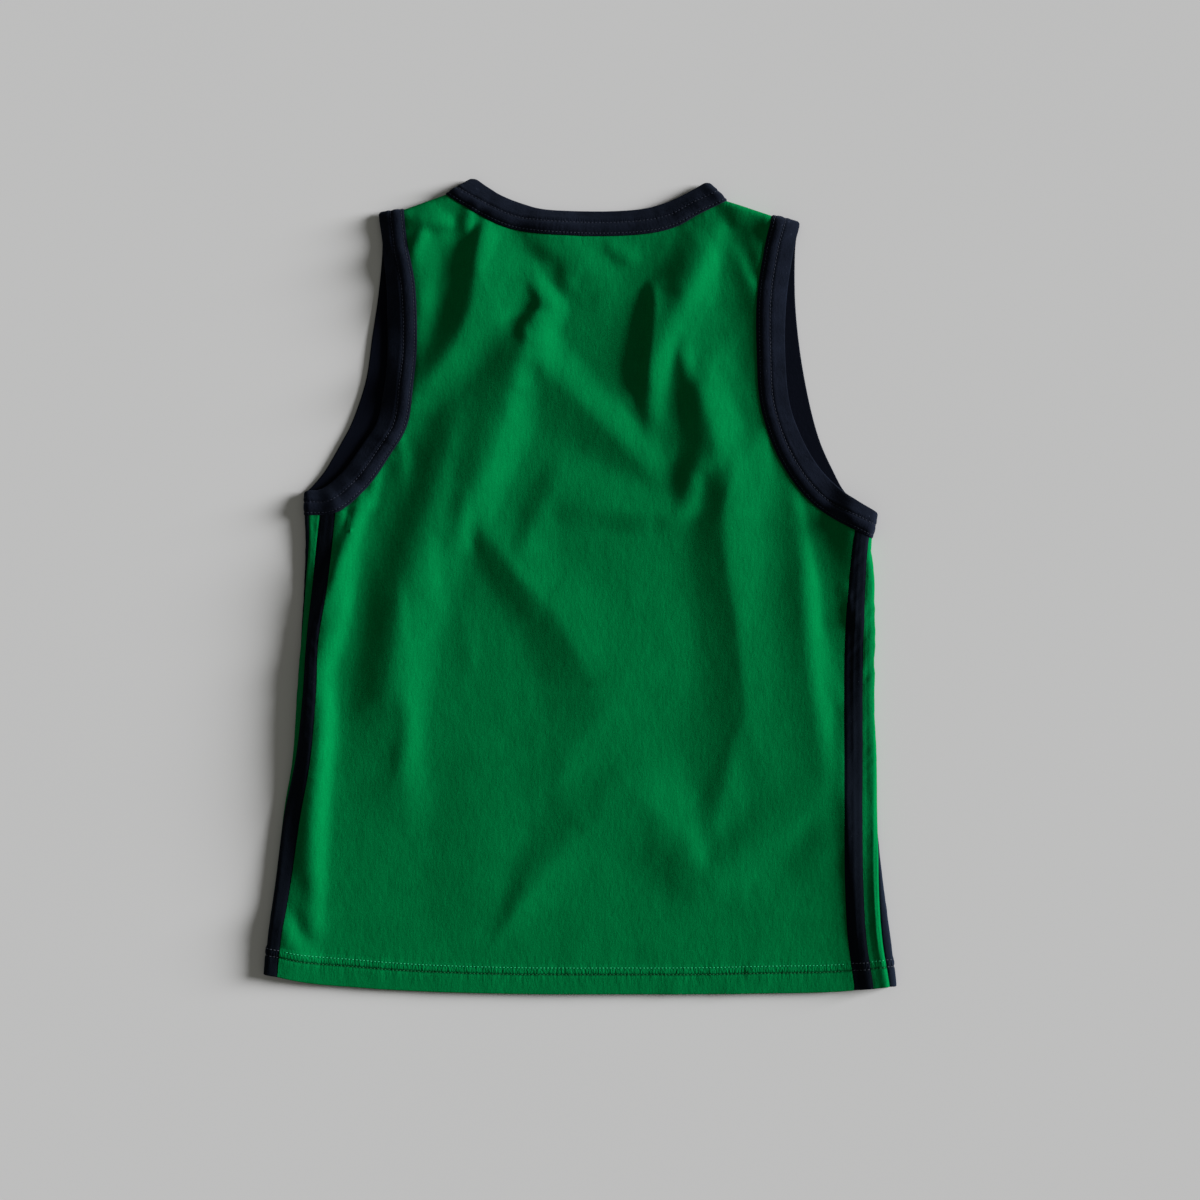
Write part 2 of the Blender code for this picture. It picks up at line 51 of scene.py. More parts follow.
CLOTH = 1.2  # room that one layer of cloth takes
JERSEY = 0.9  # thickness of the jersey itself
BINDING = 2.0  # room that a folded binding takes
HEM = 2.0  # and the turned-up hem
HEM_DEPTH = 24.0
HEM_ROWS = (16.8, 22.7)  # twin-needle rows, measured up from the hem's edge
HEM_SUNK = (0.75, 0.25)  # how deep each row is drawn in
SEAM_SUNK = {"panel": 0.45, "strip": 0.5, "binding": 0.8}  # how deep a piece is drawn in along its seams
SEAM_REACH = {"panel": 1.3, "strip": 1.2, "binding": 0.8}
LAYER_GAP = 0.4  # air between the two layers
CLEARANCE = 0.4  # and above it, where no fold lifts the upper one
FOLD_REACH = 4.0  # how far in from a folded edge its round goes
SIDE_PUFF = 2.3  # how much the layers stand apart at the side folds
SIDE_PUFF_REACH = 26.0
SHOULDER_PUFF = 2.1
SHOULDER_PUFF_REACH = 16.0
SHOULDER_DRAWN = 0.45  # share of the folds' height that is lost at the shoulder fold
SHOULDER_DRAWN_REACH = 9.0
STRIPE_WIDTH = 14.5
NECK_BINDING_WIDTH = 20.0
FRONT_NECK_DROP = 95.0  # from the shoulder to the lowest point of the front neck seam
NECK_TURN = 1.2  # rows of the neck's table over which the front binding turns to meet the shoulder fold

STITCH_PITCH = 3.1
STITCH_LENGTH = 2.6
THREAD = 0.30  # radius


def table(columns, rows):
    """Rows of measures as one array for each named column."""
    return dict(zip(columns.split(), np.array(rows, float).T))


# The side folds from the hem up: the outline's x, then how far round the garment from that edge the seam of
# the back panel and the two seams of the side strip lie, + above the fold and - underneath.
SIDES = table("y  left  left_back  left_upper  left_lower  right  right_back  right_upper  right_lower", [
    (-335.0, -265.9, 12.4, -2.5, -16.5, 265.9, 36.3, 20.3, 7.0),
    (-297.0, -262.5, 13.2, -2.0, -16.0, 261.7, 37.1, 21.6, 8.8),
    (-246.0, -255.8, 14.9, -1.2, -15.0, 254.9, 32.9, 17.8, 5.2),
    (-196.0, -249.9, 16.6, 0.5, -13.0, 249.9, 28.7, 13.6, 0.5),
    (-145.0, -241.5, 17.4, 4.3, -8.0, 249.1, 27.9, 12.4, -1.5),
    (-95.0, -238.1, 18.3, 6.9, -4.0, 247.4, 26.2, 10.7, -3.0),
    (-45.0, -234.4, 17.0, 6.5, 0.5, 248.2, 26.2, 10.7, -3.0),
    (6.0, -231.4, 22.4, 8.6, 2.6, 247.4, 22.0, 8.2, -5.0),
    (41.0, -230.6, 25.0, 11.2, 4.5, 245.7, 17.0, 4.3, -7.0),
    (60.0, -231.2, 27.5, 14.0, 5.0, 248.8, 17.0, 3.5, -7.0),
])

# The armholes from the shoulder fold to the underarm fold: the binding's seam and outer edge on the back, and
# its outer edge on the front, which shows past the back one.
ARMHOLE_COLUMNS = "seam_x  seam_y  edge_x  edge_y  front_x  front_y"
ARMHOLES = {
    "left": table(ARMHOLE_COLUMNS, [
        (-147.5, 316.5, -168.5, 313.5, -168.5, 313.5),
        (-145.0, 291.5, -165.0, 287.5, -166.0, 287.5),
        (-138.0, 253.5, -161.5, 249.5, -169.0, 249.5),
        (-136.5, 211.5, -161.0, 211.5, -174.5, 211.5),
        (-139.0, 174.0, -162.5, 175.5, -180.0, 174.0),
        (-145.0, 136.0, -169.5, 140.5, -191.0, 140.5),
        (-161.0, 108.5, -182.5, 119.5, -201.0, 121.0),
        (-179.5, 82.5, -198.0, 97.5, -214.0, 98.5),
        (-203.0, 63.0, -215.5, 82.5, -224.5, 85.5),
        (-230.0, 60.0, -229.8, 80.3, -229.8, 80.3),
    ]),
    "right": table(ARMHOLE_COLUMNS, [
        (161.5, 311.0, 184.5, 305.5, 184.5, 305.5),
        (155.0, 283.0, 179.5, 283.0, 181.5, 283.0),
        (149.0, 241.0, 173.5, 241.0, 181.5, 241.0),
        (149.0, 199.0, 172.5, 199.0, 185.5, 199.0),
        (151.5, 157.0, 176.0, 157.0, 193.0, 157.0),
        (161.5, 122.0, 186.0, 127.0, 202.0, 123.5),
        (177.0, 92.5, 201.0, 101.0, 214.0, 96.5),
        (195.5, 70.5, 219.0, 82.5, 223.0, 80.5),
        (217.0, 55.5, 233.0, 72.0, 234.0, 71.5),
        (244.5, 41.0, 248.8, 62.4, 248.8, 62.4),
    ]),
}

# The back neck from the left shoulder fold to the right one: the binding's seam and outer edge.
NECK = table("seam_x  seam_y  edge_x  edge_y", [
    (-112.0, 329.5, -88.5, 343.5),
    (-82.0, 311.5, -67.0, 329.5),
    (-58.5, 301.5, -46.5, 321.5),
    (-29.0, 296.5, -25.0, 316.5),
    (17.0, 295.0, 17.0, 315.5),
    (55.0, 297.0, 51.0, 317.5),
    (80.0, 302.5, 71.0, 322.5),
    (101.0, 313.5, 88.5, 330.0),
    (123.0, 324.0, 107.0, 340.2),
])

HEM_EDGE = table("x  y", [
    (-265.0, -325.0), (-235.0, -332.0), (-184.5, -337.0), (-67.0, -342.0),
    (34.0, -342.5), (143.0, -342.0), (227.0, -339.5), (266.0, -335.0),
])

# Folds of the upper layer: four points along the crest, then at its first point and at its last how wide the
# slope is on either side, seen from the first point to the last, and how high it stands. A sharp slope is
# steepest at the crest and hollow below it, as where a fold was pressed.
FOLD_COLUMNS = (
    "x1  y1  x2  y2  x3  y3  x4  y4  left1  left2  right1  right2  height1  height2  sharp_left  sharp_right"
)
FOLDS = table(FOLD_COLUMNS, [
    (-187, 104, -211, -42, -220, -87, -225, -323, 21, 10, 30, 19, 8.3, 8.2, 0.0, 0.0),
    (-77, 220, -128, 55, -159, -82, -134, -215, 73, 24, 26, 50, 8.5, 8.5, 0.0, 0.2),
    (-65, 319, -84, 277, -101, 209, -172, 144, 53, 19, 20, 26, 8.5, 8.5, 0.4, 0.0),
    (-19, 264, -53, 231, -47, 198, -112, 18, 39, 22, 75, 11, 8.5, 6.6, 0.4, 0.0),
    (-65, 214, -24, 177, 43, 112, 72, 76, 35, 24, 75, 7, 8.5, 3.4, 0.0, 0.6),
    (-31, 110, -18, 92, -29, 67, -49, 15, 28, 43, 29, 16, 2.1, 4.0, 1.0, 0.0),
    (-94, 65, -29, -15, -24, -18, 38, -120, 29, 75, 19, 62, 7.6, 4.6, 0.6, 0.4),
    (12, -64, 27, -97, -5, -133, -17, -196, 75, 26, 72, 75, 2.4, 4.0, 0.1, 1.0),
    (121, 331, 93, 256, 65, 198, 65, 108, 19, 17, 38, 12, 8.5, 5.5, 0.1, 0.0),
    (93, 218, 94, 189, 108, 144, 120, 69, 40, 26, 11, 44, 8.5, 8.5, 0.4, 0.0),
    (147, 153, 121, 44, 134, -48, 133, -222, 46, 67, 20, 66, 6.6, 6.8, 0.4, 0.7),
    (175, 109, 187, 16, 190, -48, 211, -193, 11, 27, 20, 75, 5.1, 8.5, 0.0, 0.7),
    (17, -138, 80, -204, 88, -210, 125, -271, 68, 17, 73, 38, 6.2, 5.2, 0.6, 0.0),
    (108, -263, 151, -216, 183, -203, 243, -173, 17, 73, 28, 75, 4.6, 6.0, 0.0, 0.0),
    (-22, -167, 7, -203, -7, -216, -76, -308, 75, 4, 65, 4, 6.8, 1.9, 0.6, 0.0),
    (-141, 256, -132, 300, -117, 304, -96, 299, 52, 4, 27, 62, 6.7, 6.8, 0.2, 0.8),
    (-133, 301, -123, 282, -133, 246, -121, 223, 4, 24, 35, 75, -2.1, 8.5, 0.0, 0.0),
    (-44, 281, -30, 242, -26, 232, -47, 222, 4, 25, 34, 17, 0.2, 8.3, 0.1, 0.0),
    (-49, 257, -38, 236, -48, 225, -48, 202, 4, 4, 26, 15, -3.5, -3.5, 0.5, 0.0),
    (-56, 302, 7, 268, 16, 254, 33, 217, 65, 14, 12, 25, 6.2, 0.0, 0.0, 0.0),
    (-4, 300, 50, 268, 56, 291, 68, 240, 4, 43, 4, 75, -1.5, -0.7, 0.8, 0.2),
    (130, 304, 127, 306, 146, 267, 155, 243, 17, 4, 9, 8, -2.3, -3.5, 0.0, 0.0),
    (88, 260, 181, 123, 180, 153, 93, 0, 45, 37, 13, 18, 1.0, 2.7, 0.0, 0.7),
    (62, 55, 92, 69, 95, 93, 115, 98, 12, 24, 13, 14, 2.4, 5.8, 0.0, 0.3),
    (-27, 61, 24, 67, 55, 62, 95, 81, 54, 14, 30, 16, 4.4, 4.7, 0.7, 0.0),
    (-142, 167, -156, 123, -151, 116, -150, 64, 14, 4, 25, 4, 3.0, 0.8, 0.0, 0.0),
    (-153, 150, -178, 70, -185, 61, -226, -51, 4, 11, 8, 11, 2.0, 6.2, 0.3, 0.0),
    (-165, 117, -171, 69, -173, 66, -170, 35, 12, 5, 4, 5, -2.9, 0.2, 0.3, 0.0),
    (-197, 63, -197, 63, -206, 33, -205, 21, 4, 4, 20, 16, 6.0, -2.2, 0.1, 0.0),
    (-119, 78, -89, 81, -90, 58, -83, 23, 31, 5, 6, 11, 0.9, -3.5, 0.1, 0.0),
    (-165, -89, -155, -120, -160, -146, -151, -164, 13, 16, 55, 33, -2.6, -3.5, 0.3, 0.0),
    (210, 73, 188, 57, 218, -19, 220, -122, 39, 4, 51, 21, -1.3, -3.5, 0.0, 0.0),
    (171, 102, 192, 60, 196, 10, 232, -48, 21, 7, 4, 69, -3.5, 5.3, 0.9, 0.9),
    (43, -264, 101, -284, 171, -283, 241, -297, 10, 7, 17, 75, -0.3, -0.6, 0.2, 0.0),
    (162, -93, 117, -184, 121, -214, 109, -256, 4, 42, 21, 19, -0.5, 4.3, 0.3, 0.0),
    (-240, -277, -242, -278, -244, -292, -223, -328, 4, 23, 26, 38, 7.6, 0.8, 0.0, 0.6),
    (-119, 51, -106, -32, -100, -31, -88, -76, 46, 4, 15, 13, -3.5, 2.3, 0.5, 0.0),
    (-55, 242, -54, 220, -40, 211, -36, 198, 35, 26, 21, 13, -3.5, 5.4, 0.0, 0.0),
    (75, 264, 64, 251, 63, 240, 53, 158, 16, 51, 14, 4, 8.5, 7.0, 1.0, 0.0),
    (-219, -86, -213, -115, -218, -197, -210, -242, 19, 4, 8, 9, 8.5, -3.5, 1.0, 0.0),
    (-148, 15, -140, -60, -145, -72, -142, -150, 56, 9, 4, 21, -3.0, 2.7, 0.0, 0.0),
    (200, 4, 200, -5, 203, -20, 215, -109, 10, 11, 6, 7, -3.5, 4.7, 0.0, 0.2),
    (-76, 309, -87, 266, -73, 264, -85, 258, 17, 21, 6, 17, 8.5, -3.5, 0.0, 0.0),
    (-29, 188, -41, 176, -41, 164, -63, 152, 13, 25, 19, 16, -3.5, -2.2, 0.0, 0.0),
    (68, 268, 48, 155, 74, 122, 71, 42, 59, 4, 20, 19, -2.3, -0.8, 1.0, 0.0),
    (-12, 274, -5, 252, 11, 252, 13, 246, 33, 19, 11, 17, 4.6, -0.4, 0.4, 0.4),
    (87, 320, 121, 257, 101, 218, 108, 149, 69, 4, 11, 11, -2.2, -1.3, 0.0, 0.1),
    (88, 228, 75, 209, 93, 197, 79, 125, 24, 8, 50, 31, -3.4, -0.8, 0.8, 0.0),
    (83, 357, 140, 221, 132, 198, 187, 64, 4, 50, 4, 60, 1.8, -3.5, 0.0, 1.0),
    (140, -112, 138, -146, 139, -158, 145, -226, 4, 43, 6, 39, -2.9, 0.7, 0.5, 0.0),
    (-189, 52, -187, -20, -184, -36, -209, -143, 10, 75, 5, 19, -1.9, -1.4, 0.0, 0.0),
    (96, -212, 149, -237, 187, -211, 190, -185, 61, 8, 39, 24, -1.4, -3.5, 0.0, 0.2),
    (115, 317, 150, 315, 163, 303, 153, 292, 17, 6, 22, 14, 8.5, 8.5, 0.0, 0.4),
    (130, 317, 148, 237, 152, 189, 113, 168, 46, 22, 37, 18, 5.9, 0.5, 0.0, 1.0),
    (57, 295, 92, 236, 84, 209, 94, 165, 75, 7, 22, 26, 1.1, 6.6, 0.0, 0.0),
    (-134, 305, -125, 299, -118, 300, -98, 298, 6, 6, 7, 16, -3.5, -1.5, 0.0, 0.0),
    (-132, 307, -141, 296, -142, 296, -149, 277, 12, 4, 5, 23, -3.5, -1.9, 0.4, 0.1),
    (-141, 316, -147, 311, -137, 309, -143, 310, 8, 9, 7, 6, 3.1, 1.3, 0.2, 0.2),
    (-95, 323, -92, 312, -95, 305, -89, 302, 5, 8, 10, 13, 2.0, 5.7, 0.0, 0.0),
    (21, 298, 26, 286, 30, 281, 51, 270, 4, 22, 4, 11, 1.1, 2.4, 0.0, 0.1),
    (-158, 142, -147, 109, -146, 102, -145, 96, 5, 6, 10, 4, 1.9, 1.4, 0.5, 0.0),
    (-181, 91, -187, 67, -188, 63, -195, 24, 4, 4, 6, 4, 4.8, 1.8, 0.4, 1.0),
    (-157, 124, -150, 110, -148, 109, -146, 102, 23, 31, 5, 12, -2.4, -1.4, 1.0, 0.1),
    (201, 7, 206, 34, 228, -20, 232, -3, 4, 15, 17, 8, -1.6, 4.4, 0.0, 0.4),
    (-236, -239, -230, -270, -225, -283, -228, -295, 11, 19, 4, 11, -3.5, 3.2, 0.0, 0.1),
    (48, 70, 38, -17, 59, -43, 61, -102, 48, 56, 75, 75, 1.4, 2.5, 0.0, 0.1),
    (-82, -107, -81, -120, -89, -163, -73, -306, 75, 75, 16, 75, 1.4, 2.8, 0.0, 0.1),
    (231, 80, 222, -80, 226, -220, 262, -440, 40, 22, 9, 8, 2.0, 4.5, 0.0, 0.3),
    (-143, 304, -132, 305, -121, 305, -106, 304, 8, 8, 4, 4, 1.7, 1.3, 0.0, 0.3),
    (-131, 306, -134, 296, -137, 288, -142, 272, 9, 9, 4, 4, 1.8, 1.1, 0.0, 0.3),
    (164, 330, 160, 312, 157, 298, 153, 270, 20, 20, 9, 9, 2.2, 1.5, 0.0, 0.5),
])
CREST_POINTS = 25
RELIEF_PITCH = 1.5  # of the grid that the folds are worked out on
RELIEF_X = np.arange(-280.0, 280.1, RELIEF_PITCH)
RELIEF_Y = np.arange(-352.0, 352.1, RELIEF_PITCH)
STIFFNESS = 2.0  # how far the jersey's own stiffness rounds off a crease

# Hollows pressed into the front, which lies flat on the surface.
FRONT_FOLDS = table(FOLD_COLUMNS, [
    (-150, 90, -172, 10, -168, -90, -190, -210, 14, 18, 12, 22, 0.7, 0.5, 0.5, 0.2),
    (-60, 150, -88, 60, -76, -20, -104, -130, 16, 20, 14, 12, 0.6, 0.7, 0.3, 0.6),
    (20, 170, 34, 90, 8, 0, 22, -90, 12, 18, 20, 14, 0.7, 0.5, 0.6, 0.2),
    (110, 130, 84, 40, 118, -60, 100, -190, 18, 14, 14, 20, 0.6, 0.7, 0.2, 0.6),
    (186, 20, 168, -70, 196, -150, 178, -260, 12, 16, 12, 14, 0.6, 0.5, 0.4, 0.3),
    (-20, -120, -48, -180, -30, -230, -70, -290, 14, 12, 16, 12, 0.5, 0.6, 0.5, 0.3),
    (60, -150, 96, -190, 120, -240, 150, -260, 12, 14, 12, 12, 0.5, 0.5, 0.4, 0.4),
])


def smooth(knots, values, at):
    """A smooth curve through a table's column, read between its rows."""
    slopes = np.gradient(values, knots)
    row = np.clip(np.searchsorted(knots, at) - 1, 0, len(knots) - 2)
    step = knots[row + 1] - knots[row]
    part = np.clip((at - knots[row]) / step, 0.0, 1.0)
    rest = 1.0 - part
    return (
        values[row] * (1.0 + 2.0 * part) * rest**2
        + values[row + 1] * (1.0 + 2.0 * rest) * part**2
        + step * part * rest * (slopes[row] * rest - slopes[row + 1] * part)
    )


def route(measures, x, y, at):
    """Points of a smooth line through two columns of a table; at counts its rows."""
    rows = np.arange(len(measures[x]), dtype=float)
    return np.stack([smooth(rows, measures[x], at), smooth(rows, measures[y], at)], axis=-1)


def hem_y(x):
    """The hem's lower edge."""
    return smooth(HEM_EDGE["x"], HEM_EDGE["y"], x)


def soft_step(value):
    """From 0 to 1, with no corner at either end."""
    part = np.clip(value, 0.0, 1.0)
    return part * part * (3.0 - 2.0 * part)


def bump(distance, reach):
    """1 at no distance, and soon nothing past the reach."""
    return np.exp(-((distance / reach) ** 2))


def lengths_along(line):
    """How far along a line each of its points lies."""
    return np.concatenate([[0.0], np.cumsum(np.linalg.norm(np.diff(line, axis=0), axis=-1))])


def read_line(at, knots, line):
    """Points of a line, straight between its own points at the knots."""
    return np.stack([np.interp(at, knots, line[:, axis]) for axis in range(line.shape[1])], axis=-1)


def closed(line):
    """A ring's points with its first point once more at the end."""
    return np.concatenate([line, line[:1]])


def blended(grid, place_x, place_y, ease=lambda part: part):
    """Value of a grid at a place counted in its cells, between the four points round it."""
    knot_x, knot_y = np.floor(place_x).astype(int), np.floor(place_y).astype(int)
    part_x, part_y = ease(place_x - knot_x), ease(place_y - knot_y)
    near = grid[knot_x, knot_y] * (1.0 - part_x) + grid[knot_x + 1, knot_y] * part_x
    far = grid[knot_x, knot_y + 1] * (1.0 - part_x) + grid[knot_x + 1, knot_y + 1] * part_x
    return near * (1.0 - part_y) + far * part_y


# --- unevenness of hand-sewn cloth ---


def waver(at, size, seed):
    """A smooth random line between -1 and 1, with knots this far apart."""
    values = np.random.default_rng(seed).uniform(-1.0, 1.0, 4096)
    place = np.asarray(at) / size + 2048.0
    knot = np.clip(np.floor(place).astype(int), 0, 4094)
    part = soft_step(place - knot)
    return values[knot] * (1.0 - part) + values[knot + 1] * part


def mottle(x, y, size_x, size_y, seed):
    """A smooth random surface between -1 and 1, with knots this far apart each way."""
    values = np.random.default_rng(seed).uniform(-1.0, 1.0, (512, 512))
    return blended(values, x / size_x + 256.0, y / size_y + 256.0, soft_step)


# --- folded edges ---

INWARD = {"left": 1.0, "right": -1.0}
LAST_ROW = {side: len(rows["seam_x"]) - 1.0 for side, rows in ARMHOLES.items()}
NECK_LAST = len(NECK["seam_x"]) - 1.0


def side_fold_x(side, y):
    """Inner face of the cloth at a side fold."""
    return smooth(SIDES["y"], SIDES[side], y) + INWARD[side] * CLOTH


def fold_lines():
    """The lines that the garment is folded along, each as points in plan."""
    lines = []
    for side, end in (("left", 0), ("right", -1)):
        armhole = ARMHOLES[side]
        shoulder = [(armhole[f"{part}_x"][0], armhole[f"{part}_y"][0]) for part in ("edge", "seam")]
        shoulder += [(NECK[f"{part}_x"][end], NECK[f"{part}_y"][end]) for part in ("seam", "edge")]
        underarm = [(armhole[f"{part}_x"][-1], armhole[f"{part}_y"][-1]) for part in ("edge", "seam")]
        heights = np.linspace(underarm[1][1], SIDES["y"][0] - HEM_DEPTH, 40)[1:]
        below = np.stack([side_fold_x(side, heights), heights], axis=-1)
        lines += [("shoulder", np.array(shoulder)), ("side", np.concatenate([underarm, below]))]
    return lines


def from_line(x, y, line):
    """Distance of each point from a line, whether it lies to its left, and how far along it, from 0 to 1."""
    lengths = np.hypot(*np.diff(line, axis=0).T)
    reached = np.concatenate([[0.0], np.cumsum(lengths)]) / lengths.sum()
    nearest = np.full(np.shape(x), np.inf)
    to_left = np.zeros(np.shape(x), bool)
    along = np.zeros(np.shape(x))
    for first, (start, end) in enumerate(zip(line[:-1], line[1:])):
        step_x, step_y = end - start
        part = ((x - start[0]) * step_x + (y - start[1]) * step_y) / lengths[first] ** 2
        part = np.clip(part, 0.0, 1.0)
        off_x = x - start[0] - part * step_x
        off_y = y - start[1] - part * step_y
        distance = np.hypot(off_x, off_y)
        nearer = distance < nearest
        nearest = np.where(nearer, distance, nearest)
        to_left = np.where(nearer, step_x * off_y - step_y * off_x > 0.0, to_left)
        along = np.where(nearer, reached[first] + part * (reached[first + 1] - reached[first]), along)
    return nearest, to_left, along


FOLD_LINES = fold_lines()


def fold_distance(x, y, kind):
    """How far a point lies from the nearest side or shoulder fold."""
    return np.min([from_line(x, y, line)[0] for of, line in FOLD_LINES if of == kind], axis=0)


# --- height of the cloth ---


def crest(row):
    """A fold's crest, a cubic through its four points."""
    part = np.linspace(0.0, 3.0, CREST_POINTS)
    line = np.zeros((CREST_POINTS, 2))
    for point in range(4):
        weight = np.ones(CREST_POINTS)
        for other in range(4):
            if other != point:
                weight *= (part - other) / (point - other)
        line += weight[:, None] * (row[f"x{point + 1}"], row[f"y{point + 1}"])
    return line


def fold_height(x, y, folds):
    """Ridges, and troughs where the height is below 0; each swells along its crest and ends in nothing."""
    height = np.zeros(np.shape(x))
    for index in range(len(folds["height1"])):
        row = {name: column[index] for name, column in folds.items()}
        line = crest(row)
        reach = max(row["left1"], row["left2"], row["right1"], row["right2"])
        low, high = line.min(axis=0) - reach, line.max(axis=0) + reach
        near = (x > low[0]) & (x < high[0]) & (y > low[1]) & (y < high[1])
        distance, to_left, along = from_line(x[near], y[near], line)
        left = row["left1"] + (row["left2"] - row["left1"]) * along
        right = row["right1"] + (row["right2"] - row["right1"]) * along
        part = np.minimum(distance / np.where(to_left, left, right), 1.0)
        sharp = np.where(to_left, row["sharp_left"], row["sharp_right"])
        slope = (1.0 - sharp) * (0.5 + 0.5 * np.cos(np.pi * part)) + sharp * (1.0 - part) ** 2
        swell = (1.0 - (2.0 * along - 1.0) ** 4) ** 2
        height[near] += (row["height1"] + (row["height2"] - row["height1"]) * along) * slope * swell
    return height


def rounded(height, reach):
    """A grid of heights, rounded off over this many cells each way."""
    cells = np.arange(-3 * math.ceil(reach), 3 * math.ceil(reach) + 1)
    weight = np.exp(-0.5 * (cells / reach) ** 2)
    for axis in (0, 1):
        height = np.apply_along_axis(np.convolve, axis, height, weight / weight.sum(), mode="same")
    return height


def relief(folds):
    """The folds worked out on an even grid over the garment; the jersey's stiffness rounds their creases."""
    x, y = np.meshgrid(RELIEF_X, RELIEF_Y, indexing="ij")
    return rounded(fold_height(x, y, folds), STIFFNESS / RELIEF_PITCH)


def read_relief(heights, x, y):
    """Height of the folds at a point of the plan."""
    place_x = np.clip((x - RELIEF_X[0]) / RELIEF_PITCH, 0.0, len(RELIEF_X) - 1.001)
    place_y = np.clip((y - RELIEF_Y[0]) / RELIEF_PITCH, 0.0, len(RELIEF_Y) - 1.001)
    return blended(heights, place_x, place_y)


BACK_RELIEF = relief(FOLDS)
FRONT_RELIEF = relief(FRONT_FOLDS)
UNDERARM_RISE = table("x  y  wide  tall  height", [
    (207.0, 60.0, 23.0, 40.0, 7.5),
    (-243.0, 72.0, 16.0, 24.0, 1.2),
])
SLACK = table("size_x  size_y  height", [(22.0, 44.0, 0.16), (9.0, 17.0, 0.12), (5.0, 8.0, 0.05)])


def underarm_rise(x, y):
    """Seams meeting under an arm stiffen the cloth, so it stands up in a step to the right of each x."""
    height = 0.0
    for start, middle, wide, tall, high in zip(*UNDERARM_RISE.values()):
        step = high * soft_step((x - start) / wide)
        height = height + step * bump(y - middle, tall) * bump(x - start - wide, 1.6 * wide)
    return height


def slack(x, y):
    """Shallow unevenness of relaxed jersey, longer up and down than across."""
    return sum(
        height * mottle(x, y, size_x, size_y, 11 + row)
        for row, (size_x, size_y, height) in enumerate(zip(*SLACK.values()))
    )


def upper_height(x, y):
    """Inner face of the upper layer: clear of the lower one, puffed up at the folded edges, and folded."""
    side = fold_distance(x, y, "side")
    shoulder = fold_distance(x, y, "shoulder")
    puff = SIDE_PUFF * bump(side, SIDE_PUFF_REACH) + SHOULDER_PUFF * bump(shoulder, SHOULDER_PUFF_REACH)
    folds = read_relief(BACK_RELIEF, x, y) * (1.0 - SHOULDER_DRAWN * bump(shoulder, SHOULDER_DRAWN_REACH))
    folds = 0.5 * (folds - 0.5 + np.sqrt((folds + 0.5) ** 2 + 0.16))  # it can't sink through the layer below
    return BINDING + LAYER_GAP + CLEARANCE + puff + folds + slack(x, y) + underarm_rise(x, y)


def inner_face(plan, layer, wall, edge=None, upper=None):
    """Points of the inner face over a plan. layer is 1 above and -1 below, edge how far in from the fold."""
    x, y = plan[..., 0], plan[..., 1]
    if edge is None:
        edge = np.minimum(fold_distance(x, y, "side"), fold_distance(x, y, "shoulder"))
    if upper is None:
        upper = upper_height(x, y)
    lower = wall + read_relief(FRONT_RELIEF, x, y)
    rounding = np.sqrt(1.0 - (1.0 - np.minimum(edge / FOLD_REACH, 1.0)) ** 2)
    return np.stack([x, y, (upper + lower) / 2.0 + layer * (upper - lower) / 2.0 * rounding], axis=-1)


# --- meshes ---


def grid_faces(rows, columns, ring, first=0):
    """Corners of the faces of a grid, row after row."""
    spans = rows if ring else rows - 1
    row, column = np.meshgrid(np.arange(spans), np.arange(columns - 1), indexing="ij")
    here = (row * columns + column).ravel() + first
    there = ((row + 1) % rows * columns + column).ravel() + first
    return np.stack([here, here + 1, there + 1, there], axis=-1)


def made_mesh(name, points, faces, finishes, kinds=None, smooth_angle=50.0):
    """A mesh object from points in millimetres and rows of four corners."""
    mesh = bpy.data.meshes.new(name)
    mesh.vertices.add(len(points))
    mesh.vertices.foreach_set("co", (points * MM).astype(np.float32).ravel())
    mesh.loops.add(faces.size)
    mesh.loops.foreach_set("vertex_index", faces.astype(np.int32).ravel())
    mesh.polygons.add(len(faces))
    mesh.polygons.foreach_set("loop_start", np.arange(len(faces), dtype=np.int32) * faces.shape[1])
    for finish in finishes:
        mesh.materials.append(finish)
    if kinds is not None:
        mesh.polygons.foreach_set("material_index", kinds.astype(np.int32))
    mesh.update(calc_edges=True)
    mesh.validate()
    mesh.shade_smooth()
    mesh.set_sharp_from_angle(angle=math.radians(smooth_angle))
    made = bpy.data.objects.new(name, mesh)
    bpy.context.scene.collection.objects.link(made)
    return made


def normals_of(points, ring):
    """Unit normals of a grid, along its columns' direction crossed with its rows'."""
    if ring:
        down = np.roll(points, -1, axis=0) - np.roll(points, 1, axis=0)
    else:
        down = np.gradient(points, axis=0)
    normal = np.cross(np.gradient(points, axis=1), down)
    return normal / np.maximum(np.linalg.norm(normal, axis=-1, keepdims=True), 1e-9)


def rim_faces(line, count):
    """Faces between an edge of a shell's face and that of its back, whose points come count later."""
    return np.stack([line[:-1], line[:-1] + count, line[1:] + count, line[1:]], axis=-1)


